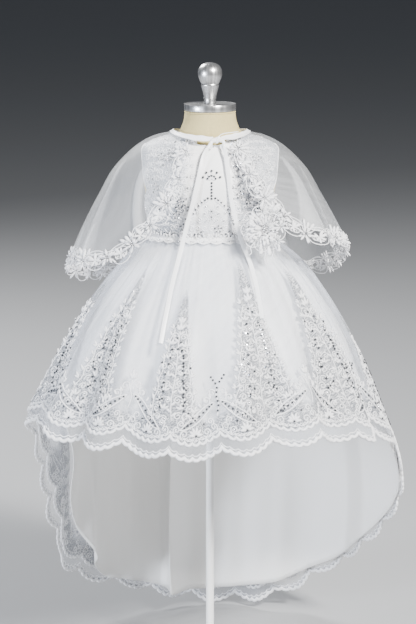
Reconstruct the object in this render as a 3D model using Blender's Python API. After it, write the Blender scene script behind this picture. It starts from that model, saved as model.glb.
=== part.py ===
"""Christening gown on a child's dress form: a sleeveless bodice, a gathered high-low skirt of satin under
embroidered organza, and a short organza cape edged with flower lace and tied at the neck with ribbon.

Metres, +Z up, the front towards -Y, the origin on the floor in the middle of the stand's base.
Directions round the body are angles in degrees: 0 is the centre front, 90 the side at +X, 180 the back."""

import math
from collections import namedtuple

import bmesh
import bpy
import numpy as np

# Clearances
SEAM = 0.0003  # between pieces that meet
SKIN = 0.0025  # between the dress form and the bodice

# Walls
BODICE_WALL = 0.0014
SATIN_WALL = 0.0014
ORGANZA_WALL = 0.0010
LACE_WALL = 0.0016
LACE_RELIEF = 0.0008

# Waist seam: a little higher at the front than behind
WAIST_HEIGHT = 0.664
WAIST_TILT = 0.004

# Dress form and its stand
FORM_BOTTOM = 0.545
NECK_TOP = 0.850
CAP_RADIUS = 0.0383
CAP_HEIGHT = 0.0100
POLE_RADIUS = 0.006
COLLAR_RADIUS = 0.014
COLLAR_HEIGHT = 0.030
BASE_RADIUS = 0.125
BASE_HEIGHT = 0.008

Section = namedtuple("Section", "height left right front back")

# The dress form from its flat bottom up to the neck
FORM = (
    Section(0.545, 0.080, 0.080, 0.068, 0.070),
    Section(0.556, 0.086, 0.086, 0.073, 0.077),
    Section(0.600, 0.091, 0.091, 0.078, 0.081),
    Section(0.640, 0.088, 0.088, 0.074, 0.075),
    Section(0.664, 0.085, 0.085, 0.071, 0.071),
    Section(0.700, 0.090, 0.090, 0.074, 0.072),
    Section(0.730, 0.096, 0.096, 0.077, 0.073),
    Section(0.755, 0.099, 0.099, 0.075, 0.070),
    Section(0.774, 0.099, 0.099, 0.068, 0.064),
    Section(0.786, 0.097, 0.097, 0.061, 0.058),
    Section(0.796, 0.089, 0.089, 0.053, 0.052),
    Section(0.803, 0.076, 0.076, 0.0480, 0.0475),
    Section(0.809, 0.062, 0.062, 0.0445, 0.0445),
    Section(0.817, 0.0490, 0.0490, 0.0420, 0.0420),
    Section(0.829, 0.0420, 0.0420, 0.0395, 0.0395),
    Section(0.850, 0.0383, 0.0383, 0.0383, 0.0383),
)

# The bodice: its mesh, and the outlines of its armholes and neckline as (degrees from the centre, height)
BODICE_COLUMNS = 12  # from the centre to the side
STRAP_COLUMNS = 9  # of them, those that go on up beside the armhole
NECK_COLUMNS = 5  # of them, those that end at the neckline
BODY_ROWS = 4
STRAP_ROWS = 6
CHEST_HEIGHT = 0.738
UNDERARM_HEIGHT = 0.716
ARMHOLE = ((67.5, 0.738), (65.0, 0.755), (66.0, 0.771), (73.0, 0.785), (90.0, 0.7945))
SHOULDER = ((90.0, 0.8135), (90.0, 0.7945))
FRONT_NECKLINE = ((0.0, 0.7965), (30.0, 0.7985), (60.0, 0.8055), (80.0, 0.8105), (90.0, 0.8135))
BACK_NECKLINE = ((0.0, 0.8080), (40.0, 0.8090), (70.0, 0.8115), (90.0, 0.8135))
SIDE_GAP = 0.12  # degrees that each bodice panel stays short of its seams

# The satin skirt, which falls straighter on the left than on the right
SATIN = (
    Section(0.668, 0.0862, 0.0862, 0.0722, 0.0722),
    Section(0.650, 0.0980, 0.1000, 0.0870, 0.0880),
    Section(0.624, 0.1160, 0.1240, 0.1080, 0.1100),
    Section(0.584, 0.1480, 0.1560, 0.1360, 0.1380),
    Section(0.523, 0.1860, 0.1960, 0.1710, 0.1760),
    Section(0.455, 0.2090, 0.2270, 0.1990, 0.2070),
    Section(0.389, 0.2140, 0.2520, 0.2180, 0.2300),
    Section(0.343, 0.2150, 0.2710, 0.2260, 0.2420),
    Section(0.290, 0.2190, 0.2830, 0.2300, 0.2500),
    Section(0.242, 0.2250, 0.2860, 0.2320, 0.2560),
    Section(0.164, 0.2290, 0.2830, 0.2340, 0.2580),
    Section(0.100, 0.2290, 0.2770, 0.2340, 0.2560),
    Section(0.030, 0.2220, 0.2640, 0.2300, 0.2480),
)

# The organza overskirt, which stands out further
OVERSKIRT = (
    Section(0.668, 0.0892, 0.0892, 0.0752, 0.0752),
    Section(0.650, 0.1060, 0.1080, 0.0960, 0.0970),
    Section(0.624, 0.1270, 0.1370, 0.1190, 0.1210),
    Section(0.584, 0.1600, 0.1680, 0.1500, 0.1530),
    Section(0.523, 0.2030, 0.2060, 0.1860, 0.1920),
    Section(0.455, 0.2360, 0.2380, 0.2160, 0.2240),
    Section(0.389, 0.2620, 0.2640, 0.2370, 0.2470),
    Section(0.343, 0.2620, 0.2810, 0.2450, 0.2580),
    Section(0.290, 0.2640, 0.2910, 0.2490, 0.2650),
    Section(0.242, 0.2700, 0.2940, 0.2510, 0.2690),
    Section(0.164, 0.2800, 0.2910, 0.2520, 0.2710),
    Section(0.100, 0.2800, 0.2850, 0.2520, 0.2690),
    Section(0.005, 0.2620, 0.2680, 0.2480, 0.2600),
)

# The cape from its neck edge down, by share of its length at the left side: heights and reaches of its rings
Drape = namedtuple("Drape", "share side_height side front_height front back_height back")
CAPE = (
    Drape(0.00, 0.8205, 0.0545, 0.8030, 0.0550, 0.8160, 0.0490),
    Drape(0.08, 0.8140, 0.0800, 0.7960, 0.0680, 0.8110, 0.0600),
    Drape(0.18, 0.8010, 0.1050, 0.7790, 0.0810, 0.7980, 0.0720),
    Drape(0.32, 0.7690, 0.1390, 0.7490, 0.0920, 0.7680, 0.0870),
    Drape(0.50, 0.7270, 0.1640, 0.7190, 0.1010, 0.7240, 0.1060),
    Drape(0.70, 0.6890, 0.1840, 0.6910, 0.1130, 0.6720, 0.1300),
    Drape(0.85, 0.6640, 0.1960, 0.6730, 0.1240, 0.6360, 0.1460),
    Drape(1.00, 0.6390, 0.2060, 0.6550, 0.1350, 0.6000, 0.1600),
    Drape(1.18, 0.6070, 0.2150, 0.6330, 0.1470, 0.5560, 0.1730),
)

# Where the cape's two front edges run, as an angle from the centre front at each share of the way down
Edge = namedtuple("Edge", "share left right")
CAPE_FRONTS = (
    Edge(0.00, 46.0, 48.0),
    Edge(0.10, 30.0, 34.0),
    Edge(0.20, 26.0, 31.5),
    Edge(0.35, 25.0, 32.0),
    Edge(0.55, 28.5, 39.0),
    Edge(0.75, 34.5, 45.0),
    Edge(1.00, 42.0, 49.0),
)
# How long the cape is on its way round, from the left front edge by the back to the right front edge
Length = namedtuple("Length", "round_share length")
CAPE_LENGTHS = (
    Length(0.00, 0.99),
    Length(0.17, 1.00),
    Length(0.25, 1.13),
    Length(0.33, 1.12),
    Length(0.50, 1.02),
    Length(0.63, 1.06),
    Length(0.71, 1.07),
    Length(0.78, 1.00),
    Length(0.83, 0.86),
    Length(0.90, 0.79),
    Length(1.00, 0.77),
)
CapeFold = namedtuple("CapeFold", "angle width depth start")
CAPE_FOLDS = (
    CapeFold(-172.0, 8.0, 0.011, 0.25),
    CapeFold(-155.0, 7.0, -0.010, 0.25),
    CapeFold(-137.0, 8.0, 0.010, 0.25),
    CapeFold(-116.0, 8.0, -0.006, 0.30),
    CapeFold(-78.0, 8.0, -0.006, 0.30),
    CapeFold(-56.0, 7.0, 0.008, 0.15),
    CapeFold(56.0, 6.0, 0.009, 0.15),
    CapeFold(71.0, 6.0, -0.009, 0.20),
    CapeFold(110.0, 8.0, -0.006, 0.30),
    CapeFold(131.0, 8.0, 0.010, 0.25),
    CapeFold(150.0, 7.0, -0.010, 0.25),
    CapeFold(168.0, 8.0, 0.010, 0.25),
)
CAPE_CORNER = 0.075  # share of the hem that rounds each front corner
CAPE_CORNER_RISE = 0.13  # how much shorter the cape is at its front edges
CAPE_COLUMNS = 44
CAPE_SHARES = (0.0, 0.08, 0.18, 0.32, 0.54, 0.78, 1.0)

# Hems: the height of each layer round the body. The lace's are those of the points between its scallops.
Hem = namedtuple("Hem", "angle satin lace")
HEMS = (
    Hem(-180.0, 0.034, 0.020),
    Hem(-172.0, 0.035, 0.028),
    Hem(-164.0, 0.038, 0.035),
    Hem(-157.0, 0.046, 0.046),
    Hem(-150.0, 0.055, 0.060),
    Hem(-142.0, 0.065, 0.070),
    Hem(-134.0, 0.076, 0.088),
    Hem(-127.0, 0.102, 0.110),
    Hem(-117.0, 0.144, 0.158),
    Hem(-111.0, 0.186, 0.205),
    Hem(-105.0, 0.250, 0.264),
    Hem(-100.0, 0.302, 0.312),
    Hem(-95.0, 0.346, 0.354),
    Hem(-88.0, 0.384, 0.390),
    Hem(-75.0, 0.406, 0.397),
    Hem(-50.0, 0.411, 0.400),
    Hem(-30.0, 0.413, 0.402),
    Hem(-8.0, 0.409, 0.394),
    Hem(20.0, 0.415, 0.408),
    Hem(36.0, 0.416, 0.410),
    Hem(53.0, 0.410, 0.398),
    Hem(71.0, 0.394, 0.387),
    Hem(84.0, 0.348, 0.358),
    Hem(91.0, 0.302, 0.318),
    Hem(100.0, 0.254, 0.268),
    Hem(108.0, 0.214, 0.222),
    Hem(117.0, 0.174, 0.176),
    Hem(126.0, 0.139, 0.140),
    Hem(135.0, 0.106, 0.108),
    Hem(145.0, 0.080, 0.076),
    Hem(153.0, 0.058, 0.046),
    Hem(167.0, 0.042, 0.026),
    Hem(180.0, 0.034, 0.020),
)

# Folds of a skirt: the angle of the ridge, the width of half of it, how far it stands out (a minus sign is a
# fold inwards), the height at which it starts and the drop in which it grows to its full depth
Fold = namedtuple("Fold", "angle width depth top drop")
SHARED_FOLDS = (
    Fold(-146.0, 9.0, 0.007, 0.62, 0.34),
    Fold(-129.0, 7.0, 0.006, 0.58, 0.30),
    Fold(-101.0, 6.5, -0.006, 0.60, 0.26),
    Fold(-88.0, 6.0, 0.006, 0.62, 0.24),
    Fold(-73.0, 5.0, -0.007, 0.64, 0.18),
    Fold(-60.0, 5.5, 0.008, 0.64, 0.20),
    Fold(-48.0, 4.5, -0.007, 0.63, 0.20),
    Fold(-37.0, 5.5, 0.009, 0.64, 0.22),
    Fold(-26.0, 4.5, -0.008, 0.63, 0.18),
    Fold(-14.0, 6.0, 0.008, 0.64, 0.22),
    Fold(-1.0, 5.0, -0.008, 0.62, 0.18),
    Fold(11.0, 5.0, 0.007, 0.64, 0.20),
    Fold(22.0, 4.5, -0.007, 0.63, 0.18),
    Fold(33.0, 5.5, 0.009, 0.64, 0.22),
    Fold(44.0, 4.5, -0.007, 0.62, 0.20),
    Fold(56.0, 6.0, 0.008, 0.64, 0.24),
    Fold(69.0, 5.0, -0.007, 0.62, 0.20),
    Fold(100.0, 8.0, 0.004, 0.56, 0.30),
    Fold(121.0, 9.0, -0.005, 0.58, 0.32),
    Fold(143.0, 9.0, 0.006, 0.60, 0.34),
    Fold(163.0, 7.0, -0.008, 0.62, 0.34),
    Fold(178.0, 8.0, 0.006, 0.60, 0.32),
)
SATIN_FOLDS = SHARED_FOLDS + (
    Fold(-167.5, 5.5, -0.032, 0.58, 0.20),
    Fold(-176.0, 8.0, -0.010, 0.50, 0.30),
    Fold(-119.0, 6.0, -0.026, 0.36, 0.20),
    Fold(-104.0, 5.0, 0.005, 0.36, 0.16),
)
OVERSKIRT_FOLDS = SHARED_FOLDS + (
    Fold(-84.0, 8.0, 0.008, 0.52, 0.14),
    Fold(-172.0, 5.5, 0.009, 0.60, 0.26),
    Fold(-158.0, 5.0, 0.008, 0.58, 0.30),
    Fold(-136.0, 5.5, 0.008, 0.60, 0.28),
    Fold(-121.0, 6.0, 0.005, 0.40, 0.20),
    Fold(134.0, 5.5, 0.008, 0.58, 0.28),
    Fold(153.0, 5.0, 0.009, 0.60, 0.26),
    Fold(171.0, 5.5, 0.009, 0.58, 0.28),
)

# The skirts are turned a little on the body, so that their side seams meet between two scallops
SIDE_SEAM = 85.5
SCALLOPS = 11  # on each of the two panels
SCALLOP_DROP = 0.013
PICOTS = 6  # on each scallop
PICOT_DROP = 0.0028
PANEL_GAP_RADIUS = 0.08  # the waist's radius, at which two panels come nearest
GATHERS = 33  # along the waist of each panel
GATHER_DEPTH = 0.0012
GATHER_FADE = 0.016
CORD_LINE = 0.022  # the corded line above the scalloped edge
NET_LINE = 0.009  # the plain net between that line and the edge
BORDER_TOP = 0.030
FLAME_FOOT = 0.045  # the embroidery's height between two flames
FLAME_WAIST = 0.62  # share of a flame's half width at which it has fallen to a third

# The embroidered border rises in flames: their middle, half their width and their height above the hem
Flame = namedtuple("Flame", "angle width height")
FLAMES = (
    Flame(-152.0, 15.0, 0.150),
    Flame(-118.0, 15.0, 0.170),
    Flame(-84.0, 13.0, 0.165),
    Flame(-46.0, 14.0, 0.190),
    Flame(-13.0, 11.0, 0.170),
    Flame(19.0, 15.0, 0.195),
    Flame(52.0, 14.0, 0.190),
    Flame(84.0, 13.0, 0.150),
    Flame(116.0, 15.0, 0.170),
    Flame(150.0, 15.0, 0.150),
    Flame(180.0, 12.0, 0.120),
)

# Lace sewn along the cape
FLOWER_CELLS = 4  # mesh cells along each flower of the repeat
LACE_WIDTHS = (0.0, 0.006, 0.015, 0.024)
LACE_EDGE = (-0.0035, 0.0015, 0.0035, 0.0000)  # how far the outer edge stands out at each cell
FLOWER_RELIEF = (0.0000, 0.0012, 0.0026, 0.0012)

# Scalloped lace edging over the waist seam
WAIST_LACE_HEIGHT = 0.013
WAIST_LACE_ABOVE = 0.0045
WAIST_LACE_NOTCH = 0.0032
WAIST_SCALLOPS = 32

# Satin binding on the cape's neck edge, from one side of the knot round to the other
BINDING_START = 18.5
BINDING_END = 2.2
BINDING_GAP = 0.0014
BINDING_WIDTH = 0.0055

# Free ends of the ribbon tie, hanging from the knot: points along each, chosen by hand
TIE_WIDTH = 0.0030
TIE_POINTS = 21
KNOT_PROFILE = ((0.0, -0.0070), (0.0030, -0.0066), (0.0046, -0.0045), (0.0040, 0.0), (0.0046, 0.0045),
                (0.0030, 0.0066), (0.0, 0.0070))
KNOT = (0.0098, -0.0570, 0.8096)
TIE_LEFT = (
    (0.0036, -0.0604, 0.8040),
    (-0.0040, -0.0665, 0.8005),
    (-0.0102, -0.0730, 0.7878),
    (-0.0146, -0.0800, 0.7688),
    (-0.0203, -0.0845, 0.7433),
    (-0.0262, -0.0850, 0.7183),
    (-0.0335, -0.0855, 0.6910),
    (-0.0408, -0.0905, 0.6621),
    (-0.0478, -0.1070, 0.6369),
    (-0.0548, -0.1255, 0.6111),
    (-0.0603, -0.1440, 0.5854),
    (-0.0658, -0.1600, 0.5594),
    (-0.0699, -0.1735, 0.5360),
)
TIE_RIGHT = (
    (0.0158, -0.0604, 0.8040),
    (0.0205, -0.0665, 0.8005),
    (0.0231, -0.0715, 0.7876),
    (0.0259, -0.0790, 0.7686),
    (0.0303, -0.0825, 0.7314),
    (0.0358, -0.0835, 0.7059),
    (0.0410, -0.0845, 0.6830),
    (0.0482, -0.0890, 0.6618),
    (0.0570, -0.1010, 0.6427),
    (0.0647, -0.1185, 0.6171),
    (0.0702, -0.1375, 0.5914),
    (0.0742, -0.1525, 0.5679),
)

# Cluster of gathered lace flowers at the right front edge of the cape
Bloom = namedtuple("Bloom", "x y z radius petals")
ROSETTE = Bloom(0.0765, -0.1045, 0.6900, 0.033, 8)
Tier = namedtuple("Tier", "share petal between height curl")
# Each ring: shares of the radius at its petals and between them, its height and the petals' curl
ROSETTE_TIERS = (
    Tier(0.74, 0.26, 0.00, 0.0020, 0.0000),
    Tier(0.72, 0.26, 0.00, 0.0042, 0.0000),
    Tier(0.46, 0.00, 0.16, 0.0058, 0.0020),
    Tier(0.44, 0.00, 0.16, 0.0092, 0.0000),
    Tier(0.20, 0.00, 0.00, 0.0098, 0.0000),
    Tier(0.12, 0.00, 0.00, 0.0130, 0.0000),
)
ROSETTE_HEIGHT = 0.0140
ROSETTE_TILT = 80.0  # degrees from lying flat
ROSETTE_TURN = 14.0  # degrees towards the right side

# Covered buttons down the centre back
BUTTON_RADIUS = 0.0048
BUTTON_PROFILE = ((0.0, 0.0), (0.8, 0.0), (1.0, 0.20), (0.85, 0.48), (0.45, 0.66), (0.0, 0.72))
BUTTON_ANGLE = 176.0
BUTTON_HEIGHTS = (0.682, 0.714, 0.746, 0.778)

# Colours of the materials
WHITE_SATIN = (0.90, 0.90, 0.91)
WHITE_LACE = (0.87, 0.88, 0.90)
WHITE_ORGANZA = (0.84, 0.86, 0.90)
FORM_CLOTH = (0.72, 0.64, 0.50)
POLISHED_METAL = (0.72, 0.73, 0.75)
WHITE_PAINT = (0.85, 0.85, 0.85)


def clear_scene():
    for old in list(bpy.data.objects):
        bpy.data.objects.remove(old, do_unlink=True)


def material(name, colour, roughness, metallic=0.0):
    made = bpy.data.materials.get(name) or bpy.data.materials.new(name)
    made.use_nodes = True
    shader = made.node_tree.nodes["Principled BSDF"]
    shader.inputs["Base Color"].default_value = (*colour, 1.0)
    shader.inputs["Roughness"].default_value = roughness
    shader.inputs["Metallic"].default_value = metallic
    return made


def add_mesh(name, points, faces, surface_material):
    """One closed body from points and faces, its faces turned outwards."""
    mesh = bpy.data.meshes.new(name)
    mesh.from_pydata([tuple(map(float, point)) for point in points], [], [list(map(int, f)) for f in faces])
    shape = bmesh.new()
    shape.from_mesh(mesh)
    bmesh.ops.remove_doubles(shape, verts=shape.verts, dist=1e-6)
    bmesh.ops.recalc_face_normals(shape, faces=shape.faces)
    shape.to_mesh(mesh)
    shape.free()
    mesh.shade_smooth()
    mesh.set_sharp_from_angle(angle=math.radians(50))
    mesh.materials.append(surface_material)
    made = bpy.data.objects.new(name, mesh)
    bpy.context.scene.collection.objects.link(made)
    return made


# --------------------------------------------------------------------------------------------------
# Curves and sections


def smooth(at, places, values):
    """A curve through (place, value) rows whose slope at each row is that of its two neighbours' chord."""
    places, values = np.asarray(places, float), np.asarray(values, float)
    if places[0] > places[-1]:
        places, values = places[::-1], values[::-1]
    slopes = np.gradient(values, places)
    at = np.clip(at, places[0], places[-1])
    row = np.clip(np.searchsorted(places, at, side="right") - 1, 0, len(places) - 2)
    span = places[row + 1] - places[row]
    t = (at - places[row]) / span
    return (
        (2 * t**3 - 3 * t**2 + 1) * values[row]
        + (t**3 - 2 * t**2 + t) * span * slopes[row]
        + (3 * t**2 - 2 * t**3) * values[row + 1]
        + (t**3 - t**2) * span * slopes[row + 1]
    )


def column(rows, name):
    return [getattr(row, name) for row in rows]


def step(t):
    t = np.clip(t, 0.0, 1.0)
    return t * t * (3.0 - 2.0 * t)


def turned(angle):
    """The same direction between -180 and 180 degrees."""
    return (np.asarray(angle) + 180.0) % 360.0 - 180.0


def ring_point(sections, angle, height, swell=0.0):
    """The point of a body of oval sections in a direction, each quarter of the oval with its own reach."""
    turn = np.radians(angle)
    side = np.where(
        np.sin(turn) > 0,
        smooth(height, column(sections, "height"), column(sections, "right")),
        smooth(height, column(sections, "height"), column(sections, "left")),
    )
    depth = np.where(
        np.cos(turn) > 0,
        smooth(height, column(sections, "height"), column(sections, "front")),
        smooth(height, column(sections, "height"), column(sections, "back")),
    )
    return np.stack([(side + swell) * np.sin(turn), -(depth + swell) * np.cos(turn), height], axis=-1)


def waist_height(angle):
    return WAIST_HEIGHT + WAIST_TILT * np.cos(np.radians(angle))


# --------------------------------------------------------------------------------------------------
# Walls of cloth


def normals_of(surface, places, nudge=(0.2, 0.0004)):
    """The outward normal at each place, from the surface a little to each side of it."""
    along = np.array([nudge[0], 0.0])
    down = np.array([0.0, nudge[1]])
    across = surface(places + along) - surface(places - along)
    up = surface(places + down) - surface(places - down)
    normal = np.cross(across, up)
    return normal / np.linalg.norm(normal, axis=-1, keepdims=True)


def patch(rows, holes=()):
    """Places in rows, and the faces between them. Next rows may have several times more or fewer places."""
    starts = np.cumsum([0] + [len(row) for row in rows])
    faces = []
    for k in range(len(rows) - 1):
        many, few = len(rows[k]) - 1, len(rows[k + 1]) - 1
        cells = min(many, few)
        top_step, low_step = many // cells, few // cells
        for cell in range(cells):
            if (k, cell) in holes:
                continue
            top = [starts[k] + cell * top_step + i for i in range(top_step + 1)]
            low = [starts[k + 1] + cell * low_step + i for i in range(low_step + 1)]
            faces.append(top + low[::-1])
    return np.concatenate(rows), faces


def merge(places, faces):
    """Places that coincide made one."""
    _, first, index = np.unique(np.round(places, 7), axis=0, return_index=True, return_inverse=True)
    index = index.reshape(-1)
    return places[first], [[int(index[i]) for i in face] for face in faces]


def split(face, points):
    """A face cut into a fan of triangles from the corner that makes the smallest of them largest."""
    fans = [face[i:] + face[:i] for i in range(len(face))]

    def smallest(fan):
        corner = points[fan[0]]
        ends = points[fan[1:]] - corner
        return np.linalg.norm(np.cross(ends[:-1], ends[1:]), axis=1).min()

    best = max(fans, key=smallest)
    return [[best[0], a, b] for a, b in zip(best[1:], best[2:])]


def wall_between(name, inner, outer, faces, surface_material):
    """A closed wall from its two skins, with its edges and the sides of its holes filled in.
    Both skins are cut into the same triangles, so that they stay a wall's thickness apart."""
    count = len(inner)
    faces = [triangle for face in faces for triangle in split(face, inner)]
    edges = {}
    for face in faces:
        for a, b in zip(face, face[1:] + face[:1]):
            edges.setdefault((min(a, b), max(a, b)), []).append((a, b))
    skins = [list(face) for face in faces] + [[i + count for i in face[::-1]] for face in faces]
    sides = [[b, a, a + count, b + count] for (a, b), in (uses for uses in edges.values() if len(uses) == 1)]
    points = np.concatenate([inner, outer])
    used = sorted({i for face in skins + sides for i in face})
    index = {old: new for new, old in enumerate(used)}
    kept = [[index[i] for i in face] for face in skins + sides]
    return add_mesh(name, points[used], kept, surface_material)


def cloth(name, surface, places, faces, thickness, surface_material, relief=None):
    """A wall on a surface: its inner side lies on it and its outer side may be raised.
    At the waist seam the wall's edge is level, so that the pieces above and below it meet."""
    base = surface(places)
    normal = normals_of(surface, places)
    at_seam = np.abs(places[:, 1] - waist_height(places[:, 0])) < 0.001
    normal[at_seam, 2] = 0.0
    normal /= np.linalg.norm(normal, axis=-1, keepdims=True)
    raised = thickness + (relief(places) if relief else 0.0)
    outer = base + normal * np.broadcast_to(raised, len(places))[:, None]
    return wall_between(name, base, outer, faces, surface_material)


# --------------------------------------------------------------------------------------------------
# Dress form and stand


def lathe(name, profile, sides, surface_material):
    """A turned solid from (radius, height) points that start and end on the axis."""
    turns = np.arange(sides) * 2 * math.pi / sides
    points = [(0.0, 0.0, profile[0][1])]
    for radius, height in profile[1:-1]:
        points += [(radius * math.cos(t), radius * math.sin(t), height) for t in turns]
    points.append((0.0, 0.0, profile[-1][1]))
    rings = len(profile) - 2
    faces = [[0, 1 + i, 1 + (i + 1) % sides] for i in range(sides)]
    for k in range(rings - 1):
        a, b = 1 + k * sides, 1 + (k + 1) * sides
        faces += [[a + i, b + i, b + (i + 1) % sides, a + (i + 1) % sides] for i in range(sides)]
    last = 1 + (rings - 1) * sides
    faces += [[last + i, len(points) - 1, last + (i + 1) % sides] for i in range(sides)]
    return add_mesh(name, points, faces, surface_material)


def build_form():
    cloth_cover = material("form cloth", FORM_CLOTH, 0.85)
    sides = 28
    angles = np.arange(sides) * 360.0 / sides
    heights = (0.545, 0.552, 0.585, 0.630, 0.664, 0.700, 0.735, 0.758, 0.776, 0.788, 0.796, 0.803, 0.809,
               0.817, 0.829, 0.850)
    points = np.concatenate([ring_point(FORM, angles, np.full(sides, h)) for h in heights])
    faces = [list(range(sides))[::-1], [len(points) - sides + i for i in range(sides)]]
    for k in range(len(heights) - 1):
        a, b = k * sides, (k + 1) * sides
        faces += [[a + i, a + (i + 1) % sides, b + (i + 1) % sides, b + i] for i in range(sides)]
    add_mesh("form_body", points, faces, cloth_cover)


def build_neck_cap_and_finial():
    metal = material("polished metal", POLISHED_METAL, 0.18, 1.0)
    low = NECK_TOP + SEAM
    top = low + CAP_HEIGHT
    rim = CAP_RADIUS + 0.0015
    cap = ((0.0, low), (CAP_RADIUS, low), (rim, low + 0.002), (rim, top - 0.0035),
           (CAP_RADIUS - 0.001, top - 0.001), (CAP_RADIUS * 0.8, top), (0.0, top))
    lathe("form_neck_cap", cap, 32, metal)
    foot = top + SEAM
    finial = ((0.0, 0.0), (0.0094, 0.0), (0.0086, 0.0055), (0.0104, 0.0155), (0.0131, 0.0258),
              (0.0127, 0.0290), (0.0146, 0.0325), (0.0178, 0.0430), (0.0162, 0.0515), (0.0105, 0.0575),
              (0.0, 0.060))
    lathe("form_finial", [(r, foot + h) for r, h in finial], 16, metal)


def build_stand():
    paint = material("white paint", WHITE_PAINT, 0.35)
    top = BASE_HEIGHT
    lathe("form_base", ((0.0, 0.0), (BASE_RADIUS, 0.0), (BASE_RADIUS, 0.005), (BASE_RADIUS - 0.003, top),
                        (0.0, top)), 40, paint)
    foot = top + SEAM
    lathe("form_pole", ((0.0, foot), (COLLAR_RADIUS, foot), (COLLAR_RADIUS, foot + COLLAR_HEIGHT - 0.003),
                        (COLLAR_RADIUS - 0.003, foot + COLLAR_HEIGHT), (POLE_RADIUS, foot + COLLAR_HEIGHT),
                        (POLE_RADIUS, FORM_BOTTOM - SEAM), (0.0, FORM_BOTTOM - SEAM)), 14, paint)


# --------------------------------------------------------------------------------------------------
# Bodice


def along(points, shares):
    """Places along an outline of a few points, smoothed."""
    points = np.asarray(points, float)
    shares = np.asarray(shares, float)
    steps = np.linspace(0.0, 1.0, len(points))
    if len(points) == 2:
        return points[0] + shares[:, None] * (points[1] - points[0])
    return np.stack([smooth(shares, steps, points[:, axis]) for axis in (0, 1)], axis=-1)


def half_bodice(neckline):
    """Places of half a bodice panel as (degrees from its centre, height), in rows from the waist up."""
    shares = np.linspace(0.0, 1.0, BODICE_COLUMNS + 1)
    limit = STRAP_COLUMNS / BODICE_COLUMNS
    beyond = np.clip((1.0 - shares) / (1.0 - limit), 0.0, 1.0)
    chest = UNDERARM_HEIGHT + (CHEST_HEIGHT - UNDERARM_HEIGHT) * beyond**2
    angles = 90.0 * shares
    lower = waist_height(angles) + SEAM / 2
    levels = np.linspace(0, 1, BODY_ROWS + 1)
    body = [np.stack([angles, lower + (chest - lower) * level], axis=-1) for level in levels]
    bottom = body[-1][: STRAP_COLUMNS + 1]
    top = np.concatenate([
        along(neckline, np.linspace(0, 1, NECK_COLUMNS + 1)),
        along(SHOULDER, np.linspace(0, 1, STRAP_COLUMNS - NECK_COLUMNS + 1)[1:]),
    ])
    rise = np.linspace(0, 1, STRAP_ROWS + 1)
    inner_edge = bottom[0] + rise[:, None] * (top[0] - bottom[0])
    outer_edge = along(ARMHOLE, rise)
    u = np.linspace(0, 1, STRAP_COLUMNS + 1)[:, None]
    strap = []
    for k, v in enumerate(rise[1:], 1):
        straight = (1 - v) * bottom + v * top
        pull = (1 - u) * inner_edge[k] + u * outer_edge[k]
        corners = (1 - u) * ((1 - v) * bottom[0] + v * top[0]) + u * ((1 - v) * bottom[-1] + v * top[-1])
        strap.append(straight + pull - corners)
    return body, strap


def bodice_surface(places):
    """The inner side of the bodice, a skin's gap off the dress form."""
    def form_surface(at):
        return ring_point(FORM, at[:, 0], at[:, 1])

    return form_surface(places) + SKIN * normals_of(form_surface, places, (0.5, 0.001))


def bodice_relief(places):
    """Lace raised over the shoulders and sides and in a pointed motif at the centre front."""
    angle, height = np.abs(turned(places[:, 0])), places[:, 1]
    sides = step((angle - 22.0 - 60.0 * np.clip(0.74 - height, 0, 1)) / 10.0)
    point = step((0.772 - 0.0030 * angle - height) / 0.012)
    back = step((angle - 100.0) / 20.0)
    return LACE_RELIEF * np.maximum(np.maximum(sides, point), back)


def build_bodice():
    satin = material("white satin", WHITE_SATIN, 0.35)
    panels = (
        ("bodice_front", FRONT_NECKLINE, ((0.0, -1.0), (0.0, 1.0))),
        ("bodice_back_left", BACK_NECKLINE, ((-180.0, 1.0),)),
        ("bodice_back_right", BACK_NECKLINE, ((180.0, -1.0),)),
    )
    for name, neckline, halves in panels:
        body, strap = half_bodice(neckline)
        low, low_faces = patch(body)
        high, high_faces = patch([body[-1][: STRAP_COLUMNS + 1]] + strap)
        half = np.concatenate([low, high])
        faces = low_faces + [[i + len(low) for i in face] for face in high_faces]
        short = (90.0 - SIDE_GAP) / 90.0
        places, all_faces = [], []
        for centre, sense in halves:
            offset = sum(len(p) for p in places)
            angle = half[:, 0] * short
            if len(halves) == 1:
                angle = SIDE_GAP + half[:, 0] * (90.0 - 2 * SIDE_GAP) / 90.0
            places.append(np.stack([centre + sense * angle, half[:, 1]], axis=-1))
            turned_faces = faces if sense > 0 else [face[::-1] for face in faces]
            all_faces += [[i + offset for i in face] for face in turned_faces]
        joined, joined_faces = merge(np.concatenate(places), all_faces)
        cloth(name, bodice_surface, joined, joined_faces, BODICE_WALL, satin, bodice_relief)


def waist_lace_surface(places):
    """Just outside the gathered top of the overskirt, and as wide above it."""
    clear = ORGANZA_WALL + LACE_RELIEF + GATHER_DEPTH + SEAM * 2
    return ring_point(OVERSKIRT, places[:, 0], places[:, 1], clear)


def build_waist_lace():
    """A narrow scalloped edging that lies round the waist seam, outside the bodice."""
    lace = material("white lace", WHITE_LACE, 0.75)
    cells = WAIST_SCALLOPS * 2
    angles = np.linspace(-180.0, 180.0, cells + 1)
    top = waist_height(angles) + WAIST_LACE_ABOVE
    low = top - WAIST_LACE_HEIGHT + WAIST_LACE_NOTCH * (np.arange(cells + 1) % 2)
    places, faces = patch([np.stack([angles, height], axis=-1) for height in (low, top)])
    closed = [[i - cells if places[i, 0] == 180.0 else i for i in face] for face in faces]
    cloth("waist_lace", waist_lace_surface, places, closed, 0.0012, lace)


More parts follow.
